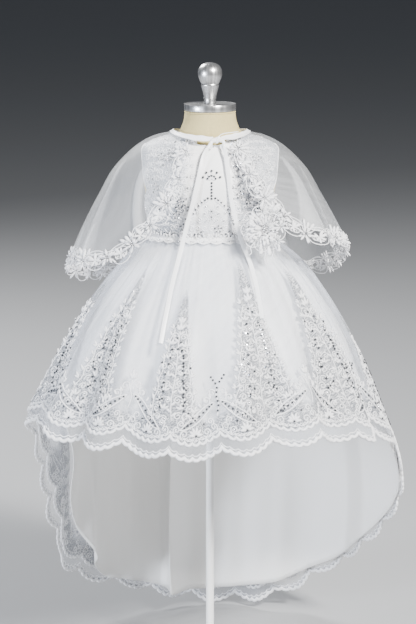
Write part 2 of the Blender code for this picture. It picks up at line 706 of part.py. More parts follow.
def build_buttons():
    satin = material("white satin", WHITE_SATIN, 0.35)
    for number, height in enumerate(BUTTON_HEIGHTS, 1):
        place = np.array([[BUTTON_ANGLE, height]])
        out = normals_of(bodice_surface, place)[0]
        foot = bodice_surface(place)[0] + (BODICE_WALL + LACE_RELIEF + SEAM) * out
        profile = [(r * BUTTON_RADIUS, h * BUTTON_RADIUS) for r, h in BUTTON_PROFILE]
        made = lathe(f"back_button_{number}", profile, 10, satin)
        made.location = foot
        made.rotation_euler = (math.atan2(math.hypot(out[0], out[1]), out[2]), 0.0,
                               math.atan2(out[1], out[0]) + math.pi / 2)


# --------------------------------------------------------------------------------------------------
# Skirts


def swell_of(folds, angle, height):
    """How far the folds push the cloth out: each is a bell across and grows as it goes down."""
    total = np.zeros(np.shape(angle))
    for fold in folds:
        across = turned(angle - fold.angle) / fold.width
        total = total + fold.depth * np.exp(-(across**2)) * step((fold.top - height) / fold.drop)
    return total


def gather_swell(angle, height):
    """Small even gathers that fade out below the waist seam."""
    below = np.clip(waist_height(angle) - height, 0.0, 1.0)
    wave = np.cos(np.radians((angle - SIDE_SEAM) * 360.0 * GATHERS / 180.0))
    return GATHER_DEPTH * wave * np.exp(-below / GATHER_FADE)


def satin_surface(places):
    angle, height = places[:, 0], places[:, 1]
    return ring_point(SATIN, angle, height, swell_of(SATIN_FOLDS, angle, height))


def overskirt_surface(places):
    angle, height = places[:, 0], places[:, 1]
    swell = swell_of(OVERSKIRT_FOLDS, angle, height) + gather_swell(angle, height)
    return ring_point(OVERSKIRT, angle, height, swell)


def hem_height(layer, angle):
    return smooth(turned(angle), column(HEMS, "angle"), column(HEMS, layer))


def scalloped_hem(angle, picots):
    """The lace hem's height: a row of scallops, each edged with small picots."""
    share = ((angle - SIDE_SEAM) * SCALLOPS / 180.0) % 1.0
    scallop = SCALLOP_DROP * (1.0 - (2.0 * share - 1.0) ** 2)
    picot = PICOT_DROP * (0.5 - 0.5 * np.cos(2 * math.pi * share * PICOTS)) if picots else 0.0
    return hem_height("lace", angle) - scallop - picot


def border_relief(places):
    """The embroidery stands up within its flames and along the two corded lines."""
    angle, height = places[:, 0], places[:, 1]
    above = height - scalloped_hem(angle, False)
    flames = []
    for flame in FLAMES:
        across = turned(angle - flame.angle) / (FLAME_WAIST * flame.width)
        flames.append(flame.height * np.exp(-(across**2)))
    border = step((FLAME_FOOT + np.max(flames, axis=0) - above) / 0.02)
    net = step((above - NET_LINE * 0.3) / 0.003) * step((CORD_LINE - 0.004 - above) / 0.003)
    return LACE_RELIEF * border * (1.0 - net)


def panel_rows(start, columns, counts, heights):
    """Rows of places over half the skirt, from the waist to the hem, each with its own number of columns.
    The two panels stop short of each other at the side seams."""
    gap = math.degrees(SEAM / 2 / PANEL_GAP_RADIUS)
    rows = []
    for count, height_at in zip(counts, heights):
        share = np.linspace(0.0, 1.0, columns * count + 1)
        angle = start + 180.0 * share
        height = height_at(angle)
        inset = gap * np.where(share == 0.0, 1.0, np.where(share == 1.0, -1.0, 0.0))
        rows.append(np.stack([angle + inset, height], axis=-1))
    return rows


def down(layer_hem, share, above=0.0):
    """A row part of the way from the waist to a line above the hem."""
    def height(angle):
        top = waist_height(angle) - SEAM / 2
        return top + share * (layer_hem(angle) + above - top)

    return height


def build_satin_skirt():
    satin = material("white satin", WHITE_SATIN, 0.35)
    shares = (0.0, 0.06, 0.15, 0.30, 0.50, 0.74, 1.0)

    def hem(angle):
        return hem_height("satin", angle)

    for name, start, columns in (("satin_front", SIDE_SEAM - 180.0, 36), ("satin_train", SIDE_SEAM, 46)):
        rows = panel_rows(start, columns, [1] * len(shares), [down(hem, share) for share in shares])
        places, faces = patch(rows)
        cloth(name, satin_surface, places, faces, SATIN_WALL, satin)


def build_overskirt():
    lace = material("embroidered organza", WHITE_ORGANZA, 0.6)
    columns = SCALLOPS * 3

    def plain(angle):
        return scalloped_hem(angle, False)

    def border(above):
        return lambda angle: plain(angle) + above

    tops = [down(plain, share, BORDER_TOP) for share in (0.0, 0.05, 0.14, 0.28, 0.48, 0.74)]
    lows = [border(BORDER_TOP), border(CORD_LINE), border(NET_LINE), lambda angle: scalloped_hem(angle, True)]
    counts = [2, 2, 1, 1, 1, 1, 1, 2, 4, 4]
    for name, start in (("overskirt_front", SIDE_SEAM - 180.0), ("overskirt_train", SIDE_SEAM)):
        places, faces = patch(panel_rows(start, columns, counts, tops + lows))
        cloth(name, overskirt_surface, places, faces, ORGANZA_WALL, lace, border_relief)


# --------------------------------------------------------------------------------------------------
# Cape


def cape_point(angle, share):
    """A point of the cape: oval rings that start at the neck and spread over the shoulders and arms."""
    turn = np.radians(angle)
    shares = column(CAPE, "share")
    side = smooth(share, shares, column(CAPE, "side"))
    front = smooth(share, shares, column(CAPE, "front"))
    back = smooth(share, shares, column(CAPE, "back"))
    ahead = np.cos(turn) > 0
    depth = np.where(ahead, front, back)
    facing_height = np.where(
        ahead,
        smooth(share, shares, column(CAPE, "front_height")),
        smooth(share, shares, column(CAPE, "back_height")),
    )
    side_height = smooth(share, shares, column(CAPE, "side_height"))
    facing = np.cos(turn) ** 2
    height = side_height + (facing_height - side_height) * facing
    folds = cape_folds(angle, share)
    return np.stack([
        (side + folds) * np.sin(turn),
        -(depth + folds) * np.cos(turn),
        height,
    ], axis=-1)


def cape_folds(angle, share):
    total = np.zeros(np.shape(angle))
    for fold in CAPE_FOLDS:
        across = turned(angle - fold.angle) / fold.width
        total = total + fold.depth * np.exp(-(across**2)) * step((share - fold.start) / (1.0 - fold.start))
    return total


def cape_surface(places):
    """Places are (share of the way round from the left front edge to the right one, share down)."""
    round_share, down_share = places[:, 0], places[:, 1]
    left = smooth(down_share, column(CAPE_FRONTS, "share"), column(CAPE_FRONTS, "left"))
    right = smooth(down_share, column(CAPE_FRONTS, "share"), column(CAPE_FRONTS, "right"))
    angle = -left - round_share * (360.0 - left - right)
    return cape_point(angle, down_share)


def cape_rows():
    """Rows of places over the cape, whose front corners are rounded."""
    share = np.linspace(0.0, 1.0, CAPE_COLUMNS + 1)
    from_edge = np.clip(np.minimum(share, 1.0 - share) / CAPE_CORNER, 0.0, 1.0)
    length = smooth(share, column(CAPE_LENGTHS, "round_share"), column(CAPE_LENGTHS, "length"))
    length = length - CAPE_CORNER_RISE * (1.0 - np.sqrt(1.0 - (1.0 - from_edge) ** 2))
    return [np.stack([share, down_share * length], axis=-1) for down_share in CAPE_SHARES]


def build_cape():
    organza = material("organza", WHITE_ORGANZA, 0.6)
    places, faces = patch(cape_rows())
    base = cape_surface(places)
    normal = normals_of(cape_surface, places, (0.001, 0.002))
    return wall_between("cape_body", base, base + ORGANZA_WALL * normal, faces, organza)


def subdivide(points, parts):
    """Each stretch of a line of points cut into a number of equal parts."""
    points = np.asarray(points)
    cut = [points[:-1] + (points[1:] - points[:-1]) * k / parts for k in range(parts)]
    return np.concatenate([np.stack(cut, axis=1).reshape(-1, points.shape[1]), points[-1:]])


def build_cape_lace():
    """The flower lace goes on from the cape's edge: down the left front, round the hem, up the right."""
    lace = material("flower lace", WHITE_LACE, 0.7)
    rows = cape_rows()
    left = np.array([row[0] for row in rows[1:]])
    hem = rows[-1][1:-1]
    right = np.array([row[-1] for row in rows[1:]])[::-1]
    coarse = np.concatenate([left, hem, right])
    edge = cape_surface(coarse)
    normal = normals_of(cape_surface, coarse, (0.001, 0.002))
    tangent = np.gradient(edge, axis=0)
    outward = np.cross(tangent, normal)
    outward /= np.linalg.norm(outward, axis=1, keepdims=True)
    middle = len(edge) // 2
    if outward[middle, 2] > 0:
        outward = -outward
    edge, normal, outward = (subdivide(values, 2) for values in (edge, normal, outward))
    normal /= np.linalg.norm(normal, axis=1, keepdims=True)
    cells = (len(edge) - 1) // FLOWER_CELLS * FLOWER_CELLS
    edge, normal, outward = edge[: cells + 1], normal[: cells + 1], outward[: cells + 1]
    phase = np.arange(cells + 1) % FLOWER_CELLS
    inner, outer = [], []
    for k, width in enumerate(LACE_WIDTHS):
        reach = SEAM + width + (np.array(LACE_EDGE)[phase] if k == len(LACE_WIDTHS) - 1 else 0.0)
        raised = np.array(FLOWER_RELIEF)[phase] * (1.0 if k == 2 else 0.3)
        base = edge + outward * np.broadcast_to(reach, len(edge))[:, None]
        inner.append(base)
        outer.append(base + normal * (LACE_WALL + raised)[:, None])
    holes = {(1, cell) for cell in range(cells) if cell % FLOWER_CELLS == FLOWER_CELLS - 1}
    _, faces = patch([row[:, :2] for row in inner], holes)
    return wall_between("cape_lace", np.concatenate(inner), np.concatenate(outer), faces, lace)


def build_binding():
    """A narrow satin band round the neck, open at the knot."""
    satin = material("satin ribbon", WHITE_SATIN, 0.35)
    angles = np.linspace(BINDING_START, 360.0 + BINDING_END, 33)
    turn = np.radians(angles)
    edge = cape_point(angles, np.zeros(len(angles)))
    out = np.stack([np.sin(turn), -np.cos(turn), 0 * turn], axis=-1)
    rows_in = [edge + (0.0, 0.0, BINDING_GAP + BINDING_WIDTH * share) for share in (1.0, 0.0)]
    _, faces = patch([row[:, :2] for row in rows_in])
    inner = np.concatenate(rows_in)
    outer = inner + np.concatenate([out, out]) * 0.0014
    wall_between("neck_binding", inner, outer, faces, satin)


def build_knot_and_ties():
    satin = material("satin ribbon", WHITE_SATIN, 0.35)
    knot = lathe("tie_knot", KNOT_PROFILE, 12, satin)
    knot.location = KNOT
    knot.rotation_euler = (0.0, math.radians(90.0), 0.0)
    for name, route in (("tie_left", TIE_LEFT), ("tie_right", TIE_RIGHT)):
        route = np.asarray(route)
        steps = np.linspace(0.0, 1.0, len(route))
        fine = np.linspace(0.0, 1.0, TIE_POINTS)
        points = np.stack([smooth(fine, steps, route[:, axis]) for axis in range(3)], axis=-1)
        curve = bpy.data.curves.new(name, "CURVE")
        curve.dimensions = "3D"
        curve.bevel_depth = TIE_WIDTH / 2
        curve.bevel_resolution = 2
        curve.use_fill_caps = True
        spline = curve.splines.new("POLY")
        spline.points.add(len(points) - 1)
        spline.points.foreach_set("co", np.column_stack([points, np.ones(len(points))]).ravel())
        curve.materials.append(satin)
        bpy.context.scene.collection.objects.link(bpy.data.objects.new(name, curve))


def build_rosette():
    """Two tiers of petals round a raised middle, turned to face forwards and a little to the side."""
    lace = material("flower lace", WHITE_LACE, 0.7)
    sides = ROSETTE.petals * 4
    turns = np.arange(sides) * 2 * math.pi / sides
    wave = 0.5 * np.cos(ROSETTE.petals * turns)
    points = [(0.0, 0.0, 0.0)]
    for tier in ROSETTE_TIERS:
        reach = ROSETTE.radius * (tier.share + tier.petal * (0.5 + wave) + tier.between * (0.5 - wave))
        height = tier.height + tier.curl * (0.5 + wave)
        points += list(np.stack([reach * np.cos(turns), reach * np.sin(turns), height], axis=-1))
    points.append((0.0, 0.0, ROSETTE_HEIGHT))
    faces = [[0, 1 + (i + 1) % sides, 1 + i] for i in range(sides)]
    for k in range(len(ROSETTE_TIERS) - 1):
        a, b = 1 + k * sides, 1 + (k + 1) * sides
        faces += [[a + i, a + (i + 1) % sides, b + (i + 1) % sides, b + i] for i in range(sides)]
    last = 1 + (len(ROSETTE_TIERS) - 1) * sides
    faces += [[last + i, last + (i + 1) % sides, len(points) - 1] for i in range(sides)]
    made = add_mesh("cape_rosette", points, faces, lace)
    made.location = (ROSETTE.x, ROSETTE.y, ROSETTE.z)
    made.rotation_euler = (math.radians(ROSETTE_TILT), 0.0, math.radians(ROSETTE_TURN))


def main():
    clear_scene()
    build_form()
    build_neck_cap_and_finial()
    build_stand()
    build_bodice()
    build_waist_lace()
    build_buttons()
    build_satin_skirt()
    build_overskirt()
    build_cape()
    build_cape_lace()
    build_binding()
    build_knot_and_ties()
    build_rosette()


main()
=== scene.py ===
"""Looks of a christening gown with its short cape on a child's dress form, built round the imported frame.

Metres, +Z up, the gown's front towards -Y. Directions round the body are angles in degrees: 0 is the
centre front, 90 the side at +X, 180 the back. A place on a skirt or the bodice is (angle, height); on the
cape it is (share of the way round, share of the way down); on its lace it is (metres along, metres out)."""

from __future__ import annotations

import logging
import math
from collections.abc import Sequence
from dataclasses import dataclass, field
from enum import Enum

import bpy
import numpy as np
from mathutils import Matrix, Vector

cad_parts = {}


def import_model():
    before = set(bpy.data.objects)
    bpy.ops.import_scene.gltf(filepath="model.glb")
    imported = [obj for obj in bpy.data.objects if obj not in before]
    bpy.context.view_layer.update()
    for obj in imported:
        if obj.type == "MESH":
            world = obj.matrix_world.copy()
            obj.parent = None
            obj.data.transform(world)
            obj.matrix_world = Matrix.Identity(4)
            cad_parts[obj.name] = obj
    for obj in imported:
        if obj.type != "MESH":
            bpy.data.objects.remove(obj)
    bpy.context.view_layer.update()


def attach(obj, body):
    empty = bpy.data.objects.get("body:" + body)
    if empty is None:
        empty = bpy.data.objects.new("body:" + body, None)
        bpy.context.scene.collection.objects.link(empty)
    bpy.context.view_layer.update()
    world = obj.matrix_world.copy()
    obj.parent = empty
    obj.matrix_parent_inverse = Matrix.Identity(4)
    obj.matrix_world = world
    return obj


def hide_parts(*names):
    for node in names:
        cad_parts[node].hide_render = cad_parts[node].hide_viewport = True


Array = np.ndarray
Colour = tuple[float, float, float]
Piece = bpy.types.Object
Socket = bpy.types.NodeSocket
log = logging.getLogger("gown")

# Gaps between solids, and between form and bodice; the cloths' walls; the gap under sheer cloth
SEAM = 0.0003
SKIN = 0.0025
BODICE_WALL = 0.0014
SATIN_WALL = 0.0012
SHEER_WALL = 0.0003
SHEER_BASE = 0.0004
WAIST_HEIGHT = 0.664
WAIST_TILT = 0.004
WAIST_REACH = 0.08
PANEL_GAP = math.degrees(SEAM / 2 / WAIST_REACH)

# Height, then reach to the left, right, front and back
FORM = np.array([(0.545, 0.08, 0.08, 0.068, 0.07), (0.556, 0.086, 0.086, 0.073, 0.077),
    (0.6, 0.091, 0.091, 0.078, 0.081), (0.64, 0.088, 0.088, 0.074, 0.075),
    (0.664, 0.085, 0.085, 0.071, 0.071), (0.7, 0.09, 0.09, 0.074, 0.072),
    (0.73, 0.096, 0.096, 0.077, 0.073), (0.755, 0.099, 0.099, 0.075, 0.07),
    (0.774, 0.099, 0.099, 0.068, 0.064), (0.786, 0.0985, 0.0985, 0.061, 0.058),
    (0.796, 0.095, 0.095, 0.053, 0.052), (0.803, 0.084, 0.084, 0.048, 0.0475),
    (0.809, 0.066, 0.066, 0.0445, 0.0445), (0.817, 0.049, 0.049, 0.042, 0.042),
    (0.829, 0.0412, 0.0412, 0.0388, 0.0388), (0.85, 0.0369, 0.0369, 0.0369, 0.0369)])
SATIN = np.array([(0.668, 0.0862, 0.0862, 0.0722, 0.0722), (0.65, 0.098, 0.1, 0.087, 0.088),
    (0.624, 0.116, 0.124, 0.108, 0.11), (0.584, 0.148, 0.156, 0.136, 0.138),
    (0.523, 0.186, 0.196, 0.171, 0.176), (0.455, 0.209, 0.227, 0.199, 0.207),
    (0.389, 0.214, 0.252, 0.218, 0.23), (0.343, 0.215, 0.2745, 0.226, 0.242),
    (0.29, 0.219, 0.2868, 0.23, 0.25), (0.242, 0.225, 0.29, 0.232, 0.256),
    (0.164, 0.229, 0.2868, 0.234, 0.258), (0.1, 0.229, 0.28, 0.234, 0.256),
    (0.03, 0.222, 0.264, 0.23, 0.248)])
OVERSKIRT = np.array([(0.668, 0.0892, 0.0892, 0.0752, 0.0752), (0.65, 0.106, 0.108, 0.096, 0.097),
    (0.624, 0.127, 0.137, 0.119, 0.121), (0.584, 0.16, 0.168, 0.15, 0.153),
    (0.523, 0.203, 0.206, 0.186, 0.192), (0.455, 0.236, 0.238, 0.216, 0.224),
    (0.389, 0.262, 0.264, 0.237, 0.247), (0.343, 0.262, 0.281, 0.245, 0.258),
    (0.29, 0.264, 0.291, 0.249, 0.265), (0.242, 0.27, 0.294, 0.251, 0.269),
    (0.164, 0.28, 0.291, 0.252, 0.271), (0.1, 0.28, 0.285, 0.252, 0.269),
    (0.005, 0.262, 0.268, 0.248, 0.26)])
# Angle of the ridge, half its width, how far it stands out, the height it starts at, the drop it grows in
SHARED_FOLDS = ((-146, 9, 0.007, 0.62, 0.34), (-129, 7, 0.006, 0.58, 0.3), (-101, 6.5, -0.006, 0.6, 0.26),
    (-88, 6, 0.006, 0.62, 0.24), (-73, 5, -0.011, 0.64, 0.18), (-60, 5.5, 0.013, 0.64, 0.2),
    (-48, 4.5, -0.011, 0.63, 0.2), (-37, 5.5, 0.011, 0.64, 0.22), (-26, 4.5, -0.008, 0.63, 0.18),
    (-14, 6, 0.008, 0.64, 0.22), (-1, 5, -0.008, 0.62, 0.18), (11, 5, 0.007, 0.64, 0.2),
    (22, 4.5, -0.007, 0.63, 0.18), (33, 5.5, 0.011, 0.64, 0.22), (44, 4.5, -0.01, 0.62, 0.2),
    (56, 6, 0.01, 0.64, 0.24), (69, 5, -0.01, 0.62, 0.2), (100, 8, 0.004, 0.56, 0.3),
    (121, 9, -0.005, 0.58, 0.32), (143, 9, 0.006, 0.6, 0.34), (163, 7, -0.008, 0.62, 0.34),
    (178, 8, 0.006, 0.6, 0.32))
SATIN_FOLDS = np.array(SHARED_FOLDS + ((-178, 7, -0.009, 0.5, 0.3), (-119, 6, -0.026, 0.36, 0.2),
    (-104, 5, 0.005, 0.36, 0.16), (173, 3.5, -0.006, 0.46, 0.26), (155, 3.5, -0.005, 0.44, 0.3),
    (133, 4, 0.005, 0.4, 0.24), (-146, 4, -0.006, 0.42, 0.26), (-134, 3, 0.005, 0.36, 0.2)))
# Angle of the crest, width to its left and right seen from the front, depth, start, drop, degrees it leans
TUBE_FOLD = (-163.4, 2.4, 5.8, -0.04, 0.58, 0.2, 3.6)
OVERSKIRT_FOLDS = np.array(SHARED_FOLDS + ((-96, 6, 0.01, 0.38, 0.14), (-115, 8, -0.022, 0.4, 0.16),
    (-84, 8, 0.008, 0.52, 0.14), (-172, 5.5, 0.009, 0.6, 0.26), (-158, 5, 0.008, 0.58, 0.3),
    (-136, 5.5, 0.008, 0.6, 0.28), (-121, 6, 0.005, 0.4, 0.2), (134, 5.5, 0.008, 0.58, 0.28),
    (153, 5, 0.009, 0.6, 0.26), (171, 5.5, 0.009, 0.58, 0.28)))
# Angle, height of the satin hem, height of the points between the lace's scallops
HEMS = np.array([(-180, 0.034, 0.02), (-172, 0.035, 0.028), (-164, 0.038, 0.035), (-157, 0.046, 0.046),
    (-150, 0.055, 0.06), (-142, 0.065, 0.07), (-134, 0.076, 0.088), (-127, 0.102, 0.11),
    (-117, 0.144, 0.158), (-111, 0.186, 0.205), (-105, 0.25, 0.264), (-100, 0.302, 0.312),
    (-95, 0.346, 0.354), (-88, 0.384, 0.39), (-75, 0.406, 0.397), (-50, 0.411, 0.4), (-30, 0.413, 0.402),
    (-8, 0.409, 0.394), (20, 0.415, 0.408), (36, 0.416, 0.41), (53, 0.41, 0.398), (71, 0.394, 0.387),
    (84, 0.348, 0.358), (91, 0.302, 0.318), (100, 0.254, 0.268), (108, 0.214, 0.222), (117, 0.174, 0.176),
    (126, 0.139, 0.14), (135, 0.106, 0.108), (145, 0.08, 0.076), (153, 0.058, 0.046), (167, 0.042, 0.026),
    (180, 0.034, 0.02)])
# Share of the way down, then height and reach at the side, the front and the back
CAPE = np.array([(0, 0.8188, 0.0545, 0.814, 0.055, 0.8106, 0.05), (0.08, 0.8132, 0.08, 0.8025, 0.068, 0.807,
    0.061), (0.18, 0.8008, 0.105, 0.7825, 0.081, 0.798, 0.072), (0.32, 0.769, 0.139, 0.749, 0.092, 0.768,
    0.087), (0.5, 0.727, 0.164, 0.719, 0.101, 0.724, 0.106), (0.7, 0.689, 0.184, 0.691, 0.113, 0.672, 0.13),
    (0.85, 0.664, 0.196, 0.673, 0.124, 0.636, 0.146), (1, 0.639, 0.206, 0.655, 0.135, 0.6, 0.16),
    (1.18, 0.607, 0.215, 0.633, 0.147, 0.556, 0.173)])
# Share of the way down, then the angles of the left and the right front edge
CAPE_FRONTS = np.array([(0, 46, 48), (0.1, 30, 34), (0.2, 26, 31.5), (0.35, 25, 32), (0.55, 28.5, 39),
    (0.75, 34.5, 45), (1, 42, 49)])
# Share of the way round, length of the cape there
CAPE_LENGTHS = np.array([(0.0, 0.99), (0.17, 1.0), (0.25, 1.13), (0.33, 1.12), (0.5, 1.02), (0.63, 1.06),
    (0.71, 1.07), (0.78, 1.0), (0.83, 0.86), (0.9, 0.79), (1.0, 0.77)])
# Angle at the top and at the hem, half the fold's width, how far it stands out, share down where it starts
CAPE_FOLDS = ((-172, -172, 8, 0.011, 0.25), (-155, -155, 7, -0.01, 0.25), (-137, -137, 8, 0.01, 0.25),
    (-116, -116, 8, -0.006, 0.3), (-78, -78, 8, -0.006, 0.3), (-56, -56, 7, 0.008, 0.15),
    (56, 56, 6, 0.009, 0.15), (71, 71, 6, -0.009, 0.2), (110, 110, 8, -0.006, 0.3),
    (131, 131, 8, 0.01, 0.25), (150, 150, 7, -0.01, 0.25), (168, 168, 8, 0.01, 0.25),
    (-52.5, -28, 1.8, 0.0035, 0.2), (-66, -60, 2.2, 0.004, 0.45), (-88, -74, 2.6, 0.005, 0.2),
    (67.5, 33, 1.8, 0.004, 0.12), (64.5, 61.5, 1.8, -0.0035, 0.15), (96, 84, 2.4, 0.004, 0.35),
    (122, 118, 2.6, 0.005, 0.15), (160, 157, 2.4, 0.005, 0.3), (178, 180, 2.6, 0.005, 0.2),
    (-162, -164, 2.4, 0.005, 0.35), (-128, -124, 2.6, 0.005, 0.15), (-100, -104, 2.2, 0.004, 0.4))
# Angles of a pleat's crisp edge at its top and at the hem, then of its soft edge, and the share it starts
CAPE_PLEATS = ((-51.5, -28, -45, -22, 0.22), (60.5, 33, 64, 61.5, 0.2), (-63, -58, -66, -64, 0.66),
    (-80, -76, -83, -84, 0.72), (112, 106, 114, 117, 0.3), (-112, -108, -114, -119, 0.26),
    (146, 142, 149, 154, 0.2), (-150, -146, -153, -157, 0.34), (176, 173, 179, 182, 0.45))
# The border of the overskirt: its scallops, the lobes on them and the flames above them
SIDE_SEAM = 85.5
SCALLOPS = 11
TRAIN_SCALLOPS = 17
SCALLOP_LENGTH = 0.0735
HEM_REACH = 0.255
HEM_BLEND = 0.035
HEM_FADE = 0.09
SCALLOP_DROP = 0.013
LOBES = 7
LOBE_DROP = 0.0038
CORD_LINE = 0.022
FLAME_FOOT = 0.045
FLAME_WAIST = 0.62
# Middle, half width in degrees and height above the hem of each flame of embroidery
FLAMES = ((-152.0, 15.0, 0.15), (-118.0, 15.0, 0.17), (-84.0, 13.0, 0.165), (-46.0, 14.0, 0.19),
    (-13.0, 11.0, 0.17), (19.0, 15.0, 0.195), (52.0, 14.0, 0.19), (84.0, 13.0, 0.15), (116.0, 15.0, 0.17),
    (150.0, 15.0, 0.15), (180.0, 12.0, 0.12))
WAIST_SCALLOPS = 32
RIBBON_WIDTH = 0.006
TIE_LEFT = ((0.0036, -0.0604, 0.804), (-0.004, -0.0665, 0.8005), (-0.0102, -0.073, 0.7878),
    (-0.0146, -0.08, 0.7688), (-0.0203, -0.0845, 0.7433), (-0.0262, -0.085, 0.7183),
    (-0.0335, -0.0855, 0.691), (-0.0408, -0.0905, 0.6621), (-0.0478, -0.107, 0.6369),
    (-0.0548, -0.1255, 0.6111), (-0.0603, -0.144, 0.5854), (-0.0658, -0.16, 0.5594),
    (-0.0699, -0.1735, 0.536))
TIE_RIGHT = ((0.0158, -0.0604, 0.804), (0.0205, -0.0665, 0.8005), (0.0231, -0.0715, 0.7876),
    (0.0259, -0.079, 0.7686), (0.0303, -0.0825, 0.7314), (0.0358, -0.0835, 0.7059), (0.041, -0.0845, 0.683),
    (0.0482, -0.089, 0.6618), (0.057, -0.101, 0.6427), (0.0647, -0.1185, 0.6171), (0.0702, -0.1375, 0.5914),
    (0.0742, -0.1525, 0.5679))


# --------------------------------------------------------------------------------------------------
# Curves


def smooth(at: Array, places: Array, values: Array) -> Array:
    """A cubic curve through rows of (place, value), whose slope at a row is its neighbours' chord.

    Args:
        at: Where the curve is wanted.
        places: The rows' places, rising or falling.
        values: The rows' values.

    Returns:
        The curve's values, in the shape of at.
    """
    if places[0] > places[-1]:
        places, values = places[::-1], values[::-1]
    slopes = np.gradient(values, places)
    at = np.clip(at, places[0], places[-1])
    row = np.clip(np.searchsorted(places, at, side="right") - 1, 0, len(places) - 2)
    span = places[row + 1] - places[row]
    t = (at - places[row]) / span
    return ((2 * t**3 - 3 * t**2 + 1) * values[row] + (t**3 - 2 * t**2 + t) * span * slopes[row]
        + (3 * t**2 - 2 * t**3) * values[row + 1] + (t**3 - t**2) * span * slopes[row + 1])


def joined(*parts: Array) -> Array:
    """Arrays of one shape as the last axis of a new one."""
    return np.stack(parts, axis=-1)


def bell(t: Array) -> Array:
    """A bell curve: e to the power of less the square of t."""
    return np.exp(-(t**2))


def step(t: Array) -> Array:
    """A soft step from 0 to 1: three squares less two cubes of t, held between 0 and 1."""
    t = np.clip(t, 0.0, 1.0)
    return t * t * (3.0 - 2.0 * t)


def turned(angle: Array) -> Array:
    """The same direction between -180 and 180 degrees."""
    return (np.asarray(angle) + 180.0) % 360.0 - 180.0


def unit(vectors: Array) -> Array:
    """Vectors of length one in the same directions."""
    return vectors / np.maximum(np.linalg.norm(vectors, axis=-1, keepdims=True), 1e-12)


def through(points: Sequence[Sequence[float]], count: int) -> Array:
    """A smooth line through a few points.

    Args:
        points: The points, of any dimension.
        count: How many points the line gets.

    Returns:
        The line's points, evenly spaced by share of the rows.
    """
    rows = np.asarray(points, float)
    share = np.linspace(0.0, 1.0, count)
    steps = np.linspace(0.0, 1.0, len(rows))
    return np.stack([smooth(share, steps, rows[:, axis]) for axis in range(rows.shape[1])], axis=-1)


def oval_point(sections: Array, angle: Array, height: Array, swell: Array | float = 0.0) -> Array:
    """The point of a body of oval sections: each quarter is an ellipse of its own two reaches.

    Args:
        sections: Rows of height and reach to the left, right, front and back.
        angle: Directions in degrees.
        height: Heights.
        swell: How far out of the body's side the points lie.

    Returns:
        The points, with one more axis than angle.
    """
    turn = np.radians(angle)
    left, right, front, back = (smooth(height, sections[:, 0], sections[:, k]) for k in (1, 2, 3, 4))
    side = np.where(np.sin(turn) > 0, right, left) + swell
    depth = np.where(np.cos(turn) > 0, front, back) + swell
    return joined(side * np.sin(turn), -depth * np.cos(turn), height)


def waist_height(angle: Array) -> Array:
    """The waist seam's height: a cosine round the body, a little higher in front."""
    return WAIST_HEIGHT + WAIST_TILT * np.cos(np.radians(angle))


def hem_height(column: int, angle: Array) -> Array:
    """The height of one layer's hem (1 satin, 2 lace) in a direction."""
    return smooth(turned(angle), HEMS[:, 0], HEMS[:, column])


def hem_slope(angle: Array) -> Array:
    """How steeply the lace hem's line rises in each direction: its rise over the ground that it covers."""
    return (hem_height(2, angle + 0.5) - hem_height(2, angle - 0.5)) / (math.radians(1.0) * HEM_REACH)


def train_run() -> tuple[Array, Array]:
    """Angles along the train's hem and how many scallops lie before each, by the length of the line.

    Returns:
        The angles, and the scallops passed at each.
    """
    angle = SIDE_SEAM + np.linspace(0.0, 180.0, 721)
    long = np.sqrt(1.0 + hem_slope(angle) ** 2)
    run = np.concatenate([[0.0], np.cumsum((long[1:] + long[:-1]) / 2)])
    return angle, run / run[-1] * TRAIN_SCALLOPS


def scallop_angle(passed: Array, train: bool) -> Array:
    """The angle at which a number of scallops has been passed since the panel's first side seam.

    Args:
        passed: Scallops and parts of one.
        train: Whether the panel is the train.

    Returns:
        The angles in degrees.
    """
    if not train:
        return SIDE_SEAM - 180.0 + passed * 180.0 / SCALLOPS
    angle, run = train_run()
    return np.interp(passed, run, angle)


def scallops_passed(angle: Array) -> Array:
    """The number of scallops between a panel's first side seam and an angle.

    Args:
        angle: Directions in degrees.

    Returns:
        Scallops and parts of one.
    """
    since = (angle - SIDE_SEAM) % 360.0
    turn, run = train_run()
    return np.where(since < 180.0, np.interp(since, turn - SIDE_SEAM, run),
        (since - 180.0) * SCALLOPS / 180.0)


def on_hem(angle: Array, above: Array | float, lobes: float = 0.0) -> Array:
    """Places measured in from the lace hem, which has parabolic scallops with rounded lobes on their edges.

    Near the hem the distance is taken square to the hem's line; it turns upright over the next centimetres,
    so that the edging stays even where the hem is steep. At the side seams it is upright all the way.

    Args:
        angle: Directions in degrees.
        above: Distances in from the scalloped edge.
        lobes: The lobes' size as a share of those on the outer edge.

    Returns:
        The places, as angles and heights.
    """
    share = scallops_passed(angle) % 1.0
    drop = SCALLOP_DROP * (1.0 - (2.0 * share - 1.0) ** 2)
    drop = drop + LOBE_DROP * lobes * np.abs(np.sin(math.pi * share * LOBES)) ** 0.6
    slope = hem_slope(angle)
    lean = slope * np.clip(12.0 * np.abs(np.sin(np.radians(angle - SIDE_SEAM))), 0.0, 1.0)
    fade = bell(above / HEM_FADE)
    near = HEM_BLEND * (1.0 - np.exp(-above / HEM_BLEND))
    square = np.sqrt(1.0 + slope**2) / (1.0 + slope * lean) * (near - drop * fade)
    aside = -lean * square * fade / HEM_REACH
    return joined(angle + np.degrees(aside), hem_height(2, angle) + square + above - near)


def flame_top(angle: Array, waist: float) -> Array:
    """How high the worked ground reaches above the hem: the highest of the flames' bell curves.

    Args:
        angle: Directions in degrees.
        waist: The bells' width as a share of the flames' half widths.

    Returns:
        Heights above the hem.
    """
    bells = [0.98 * high * bell(turned(angle - middle) / (waist * width)) for middle, width, high in FLAMES]
    return FLAME_FOOT + np.max(bells, axis=0)


# --------------------------------------------------------------------------------------------------
# Surfaces


